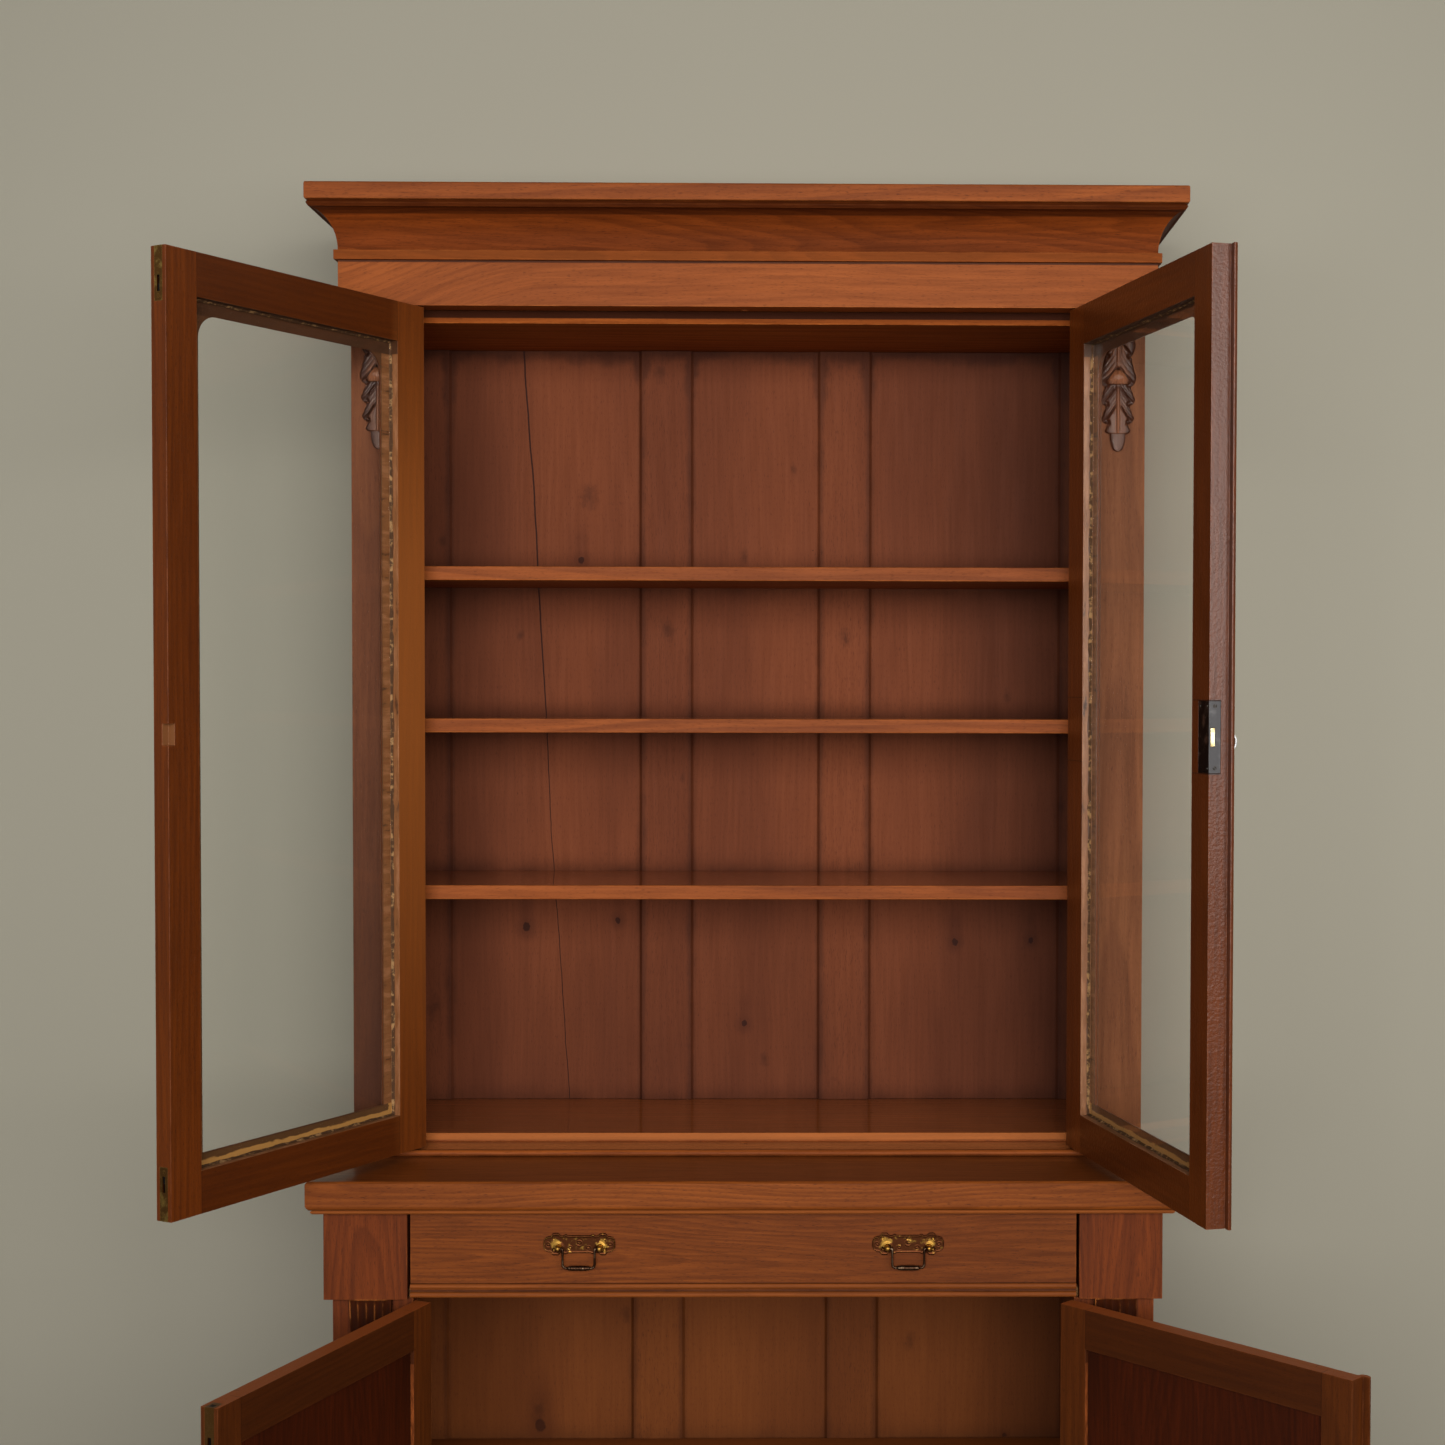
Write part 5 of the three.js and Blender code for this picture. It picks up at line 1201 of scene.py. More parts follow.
def frame_wood(name, look, offset, raw, mortise=None, lit_stile=0.0, plate=None):
    """mortise is the box of a hole that was cut after the varnish, the next argument how much painted light
    the hinge stile gets, and plate the two levels where a let-in lock plate ends."""
    material, tree = tree_of("wood_" + name + "_frame")
    place = add_node(tree, "ShaderNodeTexCoord").outputs["Object"]
    local = door_space(tree, name)
    door = DOORS[name]
    left, right, foot, top = door["sight"]
    x, y, height = split(tree, local)
    part = place_group(tree, DOOR_JOINERY, Vector=local, Left=left, Right=right, Foot=foot, Top=top,
                       Shoulder=FRAME_FRONT + door["shoulder"])
    rail = add_node(tree, "ShaderNodeMapping", {"Vector": local, "Rotation": ALONG_X}).outputs[0]
    board = mixed(tree, part["Rail"], local, rail, kind="VECTOR")
    grain = place_group(tree, GRAIN, Vector=board, Offset=offset, **QUIET)
    colour, grime_and_shade_mask = wood_colour(tree, place, grain, look)
    colour = tinted(tree, part["Rail"], RAIL_DARKNESS, colour, look["dark"])
    # Painted light on the base doors' upper edges.
    if raw is ORANGE_WOOD:
        colour = painted_lit_top(tree, colour, raw)
    # Painted light on the hinge stile.
    if lit_stile:
        colour = painted_lit_stile(tree, colour, x, height, left, lit_stile)
    colour = tinted(tree, part["Joint"], JOINT_DARKNESS, colour, look["dirt_and_shade"])
    bare = bare_wood(tree, board, height, grain, part, door, raw, look["light"])
    if mortise:
        colour = cut_mortise(tree, colour, local, mortise)
    if plate:
        colour = line_round_plate(tree, colour, y, height, plate, look["dirt_and_shade"])
    colour = tinted(tree, part["Raw"], RAW_SHARE, colour, bare)
    grime_and_shade_mask = maths(tree, "MAXIMUM", grime_and_shade_mask, maths(tree, "MULTIPLY", part["Raw"], RAW_DULLNESS))
    finish_wood(tree, colour, grime_and_shade_mask, grain, look)
    return material


def panel_wood(name, look, offset):
    material, tree = tree_of("wood_" + name + "_panel")
    place = add_node(tree, "ShaderNodeTexCoord").outputs["Object"]
    grain = place_group(tree, GRAIN, Vector=door_space(tree, name), Offset=offset, **WAVY)
    colour, grime_and_shade_mask = wood_colour(tree, place, grain, look)
    finish_wood(tree, colour, grime_and_shade_mask, grain, look)
    return material


PANEL_MAHOGANY = dict(DARK_DOOR_MAHOGANY, **{
    "dark": rgb(30, 10, 3),
    "light": rgb(76, 28, 8),
    "tone": 0.75,
})
PANEL_TREE = (-0.2, 0.08, 0.3)
KEEP_MORTISE = ((0.465, 0.4751), (0.0182, 0.0282), (0.5753, 0.6017))
# The left upper door's hinge stile gets painted light.
FRAME_LOOKS = {
    "upper_door_left": (DULL_DOOR_MAHOGANY, (0.31, 0.5, 0.1), {"mortise": KEEP_MORTISE, "lit_stile": 0.38}),
    "upper_door_right": (DOOR_MAHOGANY, (-0.4, 0.6, 0.4), {"plate": (0.545, 0.632)}),
    "base_door_left": (DARK_DOOR_MAHOGANY, (0.35, 0.3, 0.7), {}),
    "base_door_right": (DARK_DOOR_MAHOGANY, (-0.36, 0.4, 0.2), {}),
}
for name, (look, offset, marks) in FRAME_LOOKS.items():
    frame_node = name.replace("_door_", "_door_frame_")
    raw_wood = RAW_WOOD if name.startswith("upper") else ORANGE_WOOD
    dress(frame_node, frame_wood(name, look, offset, raw_wood, **marks), THIN_EDGE)
for name in ("base_door_left", "base_door_right"):
    panel_node = name.replace("_door_", "_panel_")
    dress(panel_node, panel_wood(name, PANEL_MAHOGANY, PANEL_TREE))
print("doors:", list(DOORS))

# %% [markdown]
# ## Carving wood
#
# Carved ornament was oiled and waxed into every hollow: dark in the cuts, lighter on the crowns that dusting
# rubs. The cuts are also painted darker by depth, as painted shade in the hollows. The looks are those of the
# case with more grime, and the corbels' look is darker all over, painted shade under the corner blocks.

# %% Carving wood
CARVED_MAHOGANY = dict(MAHOGANY, **{
    "dark": rgb(82, 40, 20),
    "light": rgb(172, 108, 72),
    "figure": 0.15,
    "wear": 0.75,
    "grime_and_shade": 1.0,
    "reach": 0.012,
    "rough": 0.4,
    "gloss": 0.35,
})
# A darker copy for the corbels: painted shade, for the shadow under the corner blocks.
SHADED_CORBEL_MAHOGANY = dict(CARVED_MAHOGANY, **{"dark": rgb(26, 9, 3), "light": rgb(74, 32, 13), "gloss": 0.1})
CARVING_TREE = (0.4, 0.6, 0.1)
SUNK_SHARES = (0.86, 0.42)
SUNK_WAX_AND_SHADE = 0.92
LEAF_GROUND = -289 * MM
LEAF_RELIEF = 9.8 * MM
CORBEL_GROUND = -442 * MM
CORBEL_RELIEF = 9.1 * MM
CRISP_EDGE = 0.2 * MM


def retint(tree, mask, strength, tone):
    """A tone over the colour that the finished material has already."""
    colour = tree.nodes["Principled BSDF"].inputs["Base Color"]
    tree.links.new(tinted(tree, mask, strength, colour.links[0].from_socket, tone), colour)


def carved_wood(name, look, ground, relief):
    """Darker towards the ground of the relief: wax and dust stay there, and painted shade darkens the
    hollows.
    """
    material = wood(name, look, UPRIGHT, CARVING_TREE, **QUIET)
    tree = material.node_tree
    y = split(tree, add_node(tree, "ShaderNodeTexCoord").outputs["Object"])[1]
    # Wax, dust and painted shade, darker deeper in the relief.
    sunk = ramp(tree, y, *(ground - relief * share for share in SUNK_SHARES))
    retint(tree, sunk, SUNK_WAX_AND_SHADE, look["dirt_and_shade"])
    return material


CARVING = carved_wood("carved_leaf_wood", CARVED_MAHOGANY, LEAF_GROUND, LEAF_RELIEF)
SHADED_CORBEL_CARVING = carved_wood("shaded_corbel_wood", SHADED_CORBEL_MAHOGANY, CORBEL_GROUND, CORBEL_RELIEF)
for word in ("left", "right"):
    dress("leaf_drop_" + word, CARVING, CRISP_EDGE)
    dress("base_corbel_" + word, SHADED_CORBEL_CARVING, CRISP_EDGE)
print("carved finishes:", CARVING.name, SHADED_CORBEL_CARVING.name)

# %% [markdown]
# ## Metals
#
# Old brass is brown with bright yellow only where fingers polish it. The lock cases are iron that has gone
# nearly black, with a scoured grey edge plate, and the key is grey steel.

# %% Metals
TARNISHED = {"dull": rgb(118, 82, 42), "bright": rgb(232, 190, 104), "dull_rough": 0.5, "bright_rough": 0.3}
CAST = {"dull": rgb(84, 46, 26), "bright": rgb(206, 158, 72), "dull_rough": 0.42, "bright_rough": 0.32}
BRONZE = {"dull": rgb(64, 42, 30), "bright": rgb(128, 106, 84), "dull_rough": 0.34, "bright_rough": 0.28}
IRON = {"dull": rgb(40, 36, 34), "bright": rgb(112, 106, 98), "dull_rough": 0.6, "bright_rough": 0.38}
GREY_STEEL = {"dull": rgb(98, 97, 99), "bright": rgb(190, 192, 194), "dull_rough": 0.5, "bright_rough": 0.3}
PALE_BRASS = dict(TARNISHED, **{"dull": rgb(206, 180, 124), "bright": rgb(250, 234, 186)})
CLOUD_NOISE = {"Detail": 5, "Roughness": 0.6}
CLOUD_EDGE = (-0.08, 0.14)
WORN_EDGE = {"Width": 1.2 * MM, "Amount": 0.8}
PIT_NOISE = {"Scale": 900, "Detail": 2}
PIT_BUMP = {"Strength": 0.2, "Distance": 0.2 * MM}


def metal(name, look, scale=60, polished=0.5):
    material, tree = tree_of(name)
    shader = tree.nodes["Principled BSDF"]
    place = add_node(tree, "ShaderNodeTexCoord").outputs["Object"]
    cloud = add_node(tree, "ShaderNodeTexNoise", {"Vector": place, "Scale": scale, **CLOUD_NOISE})
    patch = ramp(tree, cloud.outputs[0], *(polished + step for step in CLOUD_EDGE))
    edge = place_group(tree, WEAR, Vector=place, **WORN_EDGE)["Mask"]
    shine = maths(tree, "MAXIMUM", patch, edge)
    tree.links.new(mixed(tree, shine, look["dull"], look["bright"]), shader.inputs["Base Color"])
    spread = look["bright_rough"] - look["dull_rough"]
    tree.links.new(maths(tree, "MULTIPLY_ADD", shine, spread, look["dull_rough"]), shader.inputs["Roughness"])
    shader.inputs["Metallic"].default_value = 1.0
    pits = add_node(tree, "ShaderNodeTexNoise", {"Vector": place, **PIT_NOISE})
    bump = add_node(tree, "ShaderNodeBump", {"Height": pits.outputs[0], **PIT_BUMP})
    tree.links.new(bump.outputs[0], shader.inputs["Normal"])
    return material


BRASS = metal("tarnished_brass", TARNISHED, polished=0.55)
CAST_BRASS = metal("cast_brass", CAST, scale=90, polished=0.54)
STEEL = metal("dark_iron", IRON, polished=0.6)
PLATE_STEEL = metal("plate_steel", GREY_STEEL, scale=40, polished=0.42)
EDGE_PLATE = 2.3 * MM
PLATE_BLUR = 0.1 * MM
SCOURED = 0.85
FITTING_EDGE = 0.3 * MM

for node in NODES:
    if node.startswith(("hinge_", "lock_bolt_")):
        dress(node, BRASS, CRISP_EDGE)
    elif node.startswith("flush_bolt_"):
        dress(node, STEEL, CRISP_EDGE)
    elif node.startswith("handle_"):
        dress(node, CAST_BRASS, FITTING_EDGE)
    elif node == "key":
        dress(node, PLATE_STEEL, FITTING_EDGE)


def lock_metal(name, look):
    """The case is black iron and its edge plate, in the free edge of the door, is scoured grey."""
    material = metal("lock_metal_" + name, look, polished=0.6)
    tree = material.node_tree
    x, y, z = split(tree, door_space(tree, name))
    plate_start = DOORS[name]["free"] - EDGE_PLATE
    retint(tree, ramp(tree, x, plate_start - PLATE_BLUR, plate_start), SCOURED, GREY_STEEL["dull"])
    return material


dress("lock_case_upper", lock_metal("upper_door_right", IRON), FITTING_EDGE)
dress("lock_case_base", lock_metal("base_door_right", IRON), FITTING_EDGE)
dress("lock_bolt_upper", metal("bolt_brass", PALE_BRASS, polished=0.42), CRISP_EDGE)
print("metals:", BRASS.name, CAST_BRASS.name, STEEL.name, PLATE_STEEL.name)

# %% [markdown]
# ## Glass
#
# A pane mixes two shaders. Rays from the camera meet real glass, which reflects more at a slant, and shadow
# rays meet a clear one, so that daylight passes without the grain that refracted light would bring. The
# index is lower than that of window glass, because the soft lamps are far brighter than the dim room that
# these panes would mirror.

# %% Glass
PANE_INDEX = 1.2
PANE_TINT = (0.985, 0.99, 0.98, 1)
PANE_ROUGHNESS = 0.01


def window_glass():
    material, tree = tree_of("window_glass")
    shader = tree.nodes["Principled BSDF"]
    shader.inputs["Base Color"].default_value = PANE_TINT
    shader.inputs["Roughness"].default_value = PANE_ROUGHNESS
    shader.inputs["IOR"].default_value = PANE_INDEX
    shader.inputs["Transmission Weight"].default_value = 1.0
    clear = add_node(tree, "ShaderNodeBsdfTransparent", {"Color": PANE_TINT})
    ray = add_node(tree, "ShaderNodeLightPath")
    passing = maths(tree, "MAXIMUM", ray.outputs["Is Shadow Ray"], ray.outputs["Is Diffuse Ray"])
    mix = tree.nodes.new("ShaderNodeMixShader")
    tree.links.new(passing, mix.inputs[0])
    tree.links.new(shader.outputs[0], mix.inputs[1])
    tree.links.new(clear.outputs[0], mix.inputs[2])
    tree.links.new(mix.outputs[0], tree.nodes["Material Output"].inputs[0])
    return material


GLASS = window_glass()
for node in ("upper_glass_left", "upper_glass_right"):
    pane = NODES[node]
    pane.data.materials.clear()
    pane.data.materials.append(GLASS)
print("panes:", GLASS.name)

# %% [markdown]
# ## Building small pieces
#
# The fine parts are made here from points and faces: a relief is a grid whose height follows a formula, a
# tube follows a path with a radius of its own at every point, and a plate is an outline with a thickness.
# Each helper gives back points and faces, so several can be joined into one piece before it is dressed.

# %% Building small pieces


def gather(*shapes):
    points, faces = [], []
    for shape_points, shape_faces in shapes:
        start = len(points)
        points.extend(shape_points)
        faces.extend([[start + corner for corner in face] for face in shape_faces])
    return points, faces


def moved(shape, matrix):
    points, faces = shape
    shifted = [matrix @ Vector(point) for point in points]
    if matrix.determinant() < 0:
        faces = [list(reversed(face)) for face in faces]
    return shifted, faces


def piece(name, shape, material, slot, body, crisp=35):
    points, faces = shape
    mesh = bpy.data.meshes.new(name)
    mesh.from_pydata(points, [], faces)
    mesh.validate()
    mesh.materials.append(material)
    mesh.shade_smooth()
    mesh.set_sharp_from_angle(angle=math.radians(crisp))
    made = new_object(name, mesh)
    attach(made, body)
    return made


def relief(rows, columns, front, ground):
    """A closed solid. front(u, v) gives a point for u from -1 to 1 and v from 0 to 1, and ground is y of its
    back."""
    points = []
    for row in range(rows + 1):
        for column in range(columns + 1):
            points.append(front(2 * column / columns - 1, row / rows))

    def at(row, column):
        return row * (columns + 1) + column

    faces = []
    for row in range(rows):
        for column in range(columns):
            faces.append([at(row, column), at(row + 1, column), at(row + 1, column + 1), at(row, column + 1)])
    edge = [at(0, column) for column in range(columns)]
    edge += [at(row, columns) for row in range(rows)]
    edge += [at(rows, column) for column in range(columns, 0, -1)]
    edge += [at(row, 0) for row in range(rows, 0, -1)]
    behind = {corner: len(points) + step for step, corner in enumerate(edge)}
    points += [Vector((points[corner].x, ground, points[corner].z)) for corner in edge]
    for step, corner in enumerate(edge):
        after = edge[(step + 1) % len(edge)]
        faces.append([corner, after, behind[after], behind[corner]])
    for row in range(1, rows - 1):
        corners = (at(row, 0), at(row, columns), at(row + 1, columns), at(row + 1, 0))
        faces.append([behind[corner] for corner in corners])
    faces.append([behind[at(0, column)] for column in range(columns + 1)]
                 + [behind[at(1, columns)], behind[at(1, 0)]])
    faces.append([behind[at(rows, column)] for column in range(columns, -1, -1)]
                 + [behind[at(rows - 1, 0)], behind[at(rows - 1, columns)]])
    return points, faces


def prism(outline, low, high, axis="X"):
    """An outline, anticlockwise when seen from the high end, between two levels of an axis."""
    def place(level, a, b):
        return {"X": (level, a, b), "Y": (b, level, a), "Z": (a, b, level)}[axis]

    count = len(outline)
    points = [place(low, a, b) for a, b in outline] + [place(high, a, b) for a, b in outline]
    faces = [list(range(count - 1, -1, -1)), list(range(count, 2 * count))]
    faces += [[i, (i + 1) % count, count + (i + 1) % count, count + i] for i in range(count)]
    return points, faces


def framed_plate(outer, hole, low, high, axis="X"):
    """A flat plate with one rectangular hole. outer and hole are low and high of the two flat directions."""
    def corners(box):
        (a_low, a_high), (b_low, b_high) = box
        return [(a_low, b_low), (a_high, b_low), (a_high, b_high), (a_low, b_high)]

    points = prism(corners(outer), low, high, axis)[0] + prism(corners(hole), low, high, axis)[0]
    faces = []
    for i in range(4):
        j = (i + 1) % 4
        faces.append([4 + i, 4 + j, 12 + j, 12 + i])
        faces.append([j, i, 8 + i, 8 + j])
        faces.append([i, j, 4 + j, 4 + i])
        faces.append([8 + j, 8 + i, 12 + i, 12 + j])
    return points, faces


SCREW_SLIT = 0.18
SCREW_STEPS = 10


def screw_head(a, b, radius, low, high, tilt):
    """Two halves of a flat head with the slit between them."""
    halves = []
    start = math.asin(SCREW_SLIT)
    for turn in (0, math.pi):
        outline = []
        for step in range(SCREW_STEPS + 1):
            angle = start + (math.pi - 2 * start) * step / SCREW_STEPS + turn + tilt
            outline.append((a + radius * math.cos(angle), b + radius * math.sin(angle)))
        halves.append(prism(outline, low, high))
    return gather(*halves)


def tube(path, radii, sides=12):
    """A closed round tube along a list of points, with a radius at each."""
    path = [Vector(point) for point in path]
    points, faces = [], []
    across = None
    for index, centre in enumerate(path):
        ahead = (path[min(index + 1, len(path) - 1)] - path[max(index - 1, 0)]).normalized()
        if across is None:
            across = ahead.orthogonal().normalized()
        across = (across - ahead * across.dot(ahead)).normalized()
        other = ahead.cross(across)
        for step in range(sides):
            angle = 2 * math.pi * step / sides
            points.append(centre + (across * math.cos(angle) + other * math.sin(angle)) * radii[index])
    for ring in range(len(path) - 1):
        for step in range(sides):
            after = (step + 1) % sides
            faces.append([ring * sides + step, ring * sides + after,
                          (ring + 1) * sides + after, (ring + 1) * sides + step])
    faces.append(list(range(sides - 1, -1, -1)))
    faces.append([(len(path) - 1) * sides + step for step in range(sides)])
    return points, faces


def lobe(value, centre, width):
    return math.exp(-((value - centre) / width) ** 2)


def between(table, value):
    """The height at a value on a smooth line through the points of a table."""
    for (a, low), (b, high) in zip(table, table[1:]):
        if value <= b:
            share = (value - a) / (b - a)
            return low + (high - low) * share * share * (3 - 2 * share)
    return table[-1][1]


# %% [markdown]
# ## Carved leaves
#
# On each upper pilaster hangs a carved drop: an acanthus leaf whose tip curls forward over a drilled eye, a
# second leaf with a midrib below it and a plain tongue. The carver cut the lobes apart with a gouge, so each
# has a deep groove beside it and finer veins along it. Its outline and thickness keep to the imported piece.

# %% Carved leaves
LEAF_TOP = 2097 * MM
LEAF_LENGTH = 192 * MM
LEAF_HALF_WIDTH = 26 * MM
LEAF_X = 519.5 * MM
LEAF_LOBES = [(0.32, 0.6, 0.95), (0.525, 0.76, 1), (0.665, 0.72, 0.94), (0.8, 0.66, 0.88), (0.87, 0.55, 0.7)]
TONGUE_START = 0.87
TONGUE_WIDTHS = (0.1, 0.32)
TOOTH_DEPTH = 0.025
LEAF_BODY = (0.4, 0.35)
LEAF_CROWN = (0.3, 0.36)
TONGUE_CROWN = (0.34, 0.24)
LEAST_HEIGHT = 0.1
HEAD_RIBS = {"height": 0.1, "start": 0.15, "end": 0.4}
SIDES = {"start": 0.1, "blend": 0.25}
GROOVE = {"rise": 0.15, "power": 0.8, "depth": 0.3, "width": 0.011}
VEINS = {"shares": (0.3, 0.55, 0.8), "depth": 0.07, "width": 0.006}
NOTCH = {"depth": 0.45, "before": 0.012, "length": 0.014, "off": 0.78, "width": 0.1}
LOWER_LEAF = 0.54
MIDRIB = {"height": 0.12, "width": 0.1, "upper_share": 0.5}
MIDRIB_GROOVE = {"depth": 0.06, "off": 0.16, "width": 0.05, "upper_share": 0.6}
CURL = {"height": 0.36, "place": 0.462, "length": 0.04, "reach": 0.62}
EYE = {"depth": 0.5, "place": 0.401, "length": 0.011, "width": 0.13}
UNDER_CURL = {"depth": 0.24, "start": 0.515, "fade": 0.1}
LEAF_RIM = {"start": 0.93, "fall": 0.45}


def crown(off, low, rise):
    return low + rise * math.sqrt(max(0, 1 - off * off))


def leaf_half_width(v):
    """Each lobe swells to a drooping tip with three small teeth."""
    start = 0
    for end, narrow, wide in LEAF_LOBES:
        if v <= end:
            along = (v - start) / (end - start)
            swelling = max(0, math.sin(math.pi * along ** 2.2)) ** 0.75
            teeth = TOOTH_DEPTH * math.sin(along * 3 * math.pi) ** 2
            return narrow + (wide - narrow) * swelling - teeth
        start = end
    return crown((v - TONGUE_START) / (1 - TONGUE_START), *TONGUE_WIDTHS)


def gouged(off, v):
    """How deep the gouge went: a groove beside each lobe, finer veins along it and a notch at its end."""
    depth = start = 0
    fade = min(1, max(0, off - SIDES["start"]) / SIDES["blend"])
    for end, _, _ in LEAF_LOBES[:-1]:
        droop = GROOVE["rise"] * (1 - off) ** GROOVE["power"]
        depth += GROOVE["depth"] * fade * lobe(v, end - droop, GROOVE["width"])
        for share in VEINS["shares"]:
            place = end - (end - start) * share - droop
            depth += VEINS["depth"] * fade * lobe(v, place, VEINS["width"])
        notch = lobe(v, end - NOTCH["before"], NOTCH["length"]) * lobe(off, NOTCH["off"], NOTCH["width"])
        depth += NOTCH["depth"] * notch
        start = end
    return depth


def leaf_height(u, v):
    off = abs(u)
    upper = v <= LOWER_LEAF
    height = crown(off, *TONGUE_CROWN)
    if v <= TONGUE_START:
        ribs = min(1, v / HEAD_RIBS["start"]) * max(0, 1 - v / HEAD_RIBS["end"])
        height = crown(off, *LEAF_CROWN) - gouged(off, v)
        height += HEAD_RIBS["height"] * math.cos(5 * math.pi * off) * ribs
        rib = lobe(u, 0, MIDRIB["width"]) * (MIDRIB["upper_share"] if upper else 1)
        beside = lobe(off, MIDRIB_GROOVE["off"], MIDRIB_GROOVE["width"])
        beside *= MIDRIB_GROOVE["upper_share"] if upper else 1
        height += MIDRIB["height"] * rib - MIDRIB_GROOVE["depth"] * beside
    height += CURL["height"] * lobe(v, CURL["place"], CURL["length"]) * math.exp(-(off / CURL["reach"]) ** 4)
    height -= EYE["depth"] * lobe(v, EYE["place"], EYE["length"]) * lobe(off, 0, EYE["width"])
    if v > UNDER_CURL["start"]:
        height -= UNDER_CURL["depth"] * math.exp((UNDER_CURL["start"] - v) / UNDER_CURL["fade"])
    edge = max(0, off - LEAF_RIM["start"]) / (1 - LEAF_RIM["start"])
    return min(1, max(LEAST_HEIGHT, height) * (1 - LEAF_RIM["fall"] * edge * edge))


def leaf_front(side):
    def front(u, v):
        width = leaf_half_width(v)
        least, swell = LEAF_BODY
        body = least + swell * math.sin(math.pi * min(1, v))
        across = u * width if v > TONGUE_START else u * (body + (width - body) * abs(u) ** 4)
        return Vector((
            side * LEAF_X + LEAF_HALF_WIDTH * across,
            LEAF_GROUND - LEAF_RELIEF * leaf_height(u, v),
            LEAF_TOP - LEAF_LENGTH * v,
        ))
    return front


for word, side in (("left", -1), ("right", 1)):
    shape = relief(190, 56, leaf_front(side), LEAF_GROUND)
    leaf = piece("carved_leaf_" + word, shape, CARVING, "carving", "carcass", crisp=60)
    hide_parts("leaf_drop_" + word)

# %% [markdown]
# ## Carved corbels
#
# Under each corner block a corbel seems to carry it: a fluted head that narrows to a rounded foot. Round
# flutes meet in sharp ridges, which is how a gouge leaves them.

# %% Carved corbels
CORBEL_TOP = 752 * MM
CORBEL_LENGTH = 190 * MM
CORBEL_HALF_WIDTH = 28 * MM
CORBEL_X = 500 * MM
CORBEL_NARROWING = {"end": 0.67, "least": 0.62}
CORBEL_FOOT = {"start": 0.88, "least": 0.12}
CORBEL_BODY = {"head": 0.8, "fall": 0.5, "power": 0.7}
FLUTES = {"depth": 0.2, "middle": 0.75, "fade": 0.6}
COLLAR = {"height": 0.2, "length": 0.02}


def corbel_front(side):
    def front(u, v):
        v = math.sin(math.pi / 2 * v)
        turn = math.pi / 2 * min(1, v / CORBEL_NARROWING["end"])
        least = CORBEL_NARROWING["least"]
        narrowing = least + (1 - least) * math.cos(turn)
        along = max(0, v - CORBEL_FOOT["start"]) / (1 - CORBEL_FOOT["start"])
        width = max(CORBEL_FOOT["least"], narrowing * crown(along, 0, 1))
        body = CORBEL_BODY["head"] - CORBEL_BODY["fall"] * v ** CORBEL_BODY["power"]
        flute = FLUTES["depth"] * (abs(math.cos(2.5 * math.pi * u)) - FLUTES["middle"])
        height = body - flute * (1 - FLUTES["fade"] * v) + COLLAR["height"] * lobe(v, 0, COLLAR["length"])
        return Vector((
            side * CORBEL_X + CORBEL_HALF_WIDTH * u * width,
            CORBEL_GROUND - CORBEL_RELIEF * min(1, height),
            CORBEL_TOP - CORBEL_LENGTH * v,
        ))
    return front


for word, side in (("left", -1), ("right", 1)):
    shape = relief(70, 60, corbel_front(side), CORBEL_GROUND)
    corbel = piece("carved_corbel_" + word, shape, SHADED_CORBEL_CARVING, "carving", "carcass", crisp=50)
    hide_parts("base_corbel_" + word)

# %% [markdown]
# ## Drawer handles
#
# Each handle is a cast plate with scrolls in low relief and two posts, from which a bail with a turned grip
# hangs. Castings of this kind were left rough between the scrolls, and only the parts round the posts are
# still rubbed bright by fingers.

# %% Drawer handles
HANDLE_X = 220 * MM
HANDLE_Z = 827 * MM
HANDLE_FRONT = -452 * MM
PLATE_HALF_WIDTH = 48 * MM
PLATE_HALF_HEIGHT = 15 * MM
PLATE_THICKNESS = 2.5 * MM
POST_X = 27.5 * MM
PIVOT_Z = HANDLE_Z - 4 * MM
PIVOT_Y = HANDLE_FRONT - 10 * MM
BAIL_HALF_WIDTH = 21.4 * MM
BAIL_DROP = 26 * MM
PLATE_OUTLINE = [
    (0, 0.8),
    (0.3, 0.8),
    (0.38, 0.9),
    (0.45, 0.76),
    (0.52, 0.8),
    (0.6, 1),
    (0.72, 1),
    (0.8, 0.72),
    (0.86, 0.7),
    (0.93, 0.62),
    (0.98, 0.4),
    (1, 0.2),
]
SCROLLS = [(0.0, 0.15, 6.5), (0.25, -0.3, 5), (0.86, 0.0, 5)]
SCROLL_HEIGHT = 0.42 * MM
SCROLL_TWIST = 1.7
PLATE_FIELD = PLATE_THICKNESS * 0.72
PLATE_LEAST = 0.3 * MM
PLATE_RIM = {"height": 0.5 * MM, "place": 0.88, "width": 0.07}
PLATE_EDGE = {"start": 0.94, "fall": 0.4}
BOSS = {"height": 1.1 * MM, "radius": 5 * MM, "width": 1.4 * MM}
WING_HOLES = (34 * MM, 7.2 * MM, 1.7 * MM)
WING_DEPTH = 3 * MM
WING_SHARES = (1.2, 0.4)
POST_PROFILE = [
    (0, 3.2),
    (1.5, 3.0),
    (4, 2.6),
    (6.2, 2.7),
    (7.2, 3.5),
    (10, 3.9),
    (12.4, 3.5),
    (13.5, 2.3),
    (13.95, 0.8),
]
BAIL_CORNER = 5 * MM
BAIL_CORNER_STEPS = 6
BAIL_CORNER_RADIUS = 1.6
BAIL_END = POST_X + 3.4 * MM
BAIL_ARM = [
    (BAIL_END, PIVOT_Z, 0.7),
    (BAIL_END - 0.1 * MM, PIVOT_Z, 1.1),
    (BAIL_HALF_WIDTH + 1.6 * MM, PIVOT_Z, 1.1),
    (BAIL_HALF_WIDTH + 0.5 * MM, PIVOT_Z - 0.4 * MM, 1.5),
    (BAIL_HALF_WIDTH, PIVOT_Z - 2 * MM, 1.7),
    (BAIL_HALF_WIDTH, PIVOT_Z - 10 * MM, 1.45),
]
GRIP_HALF = 15 * MM
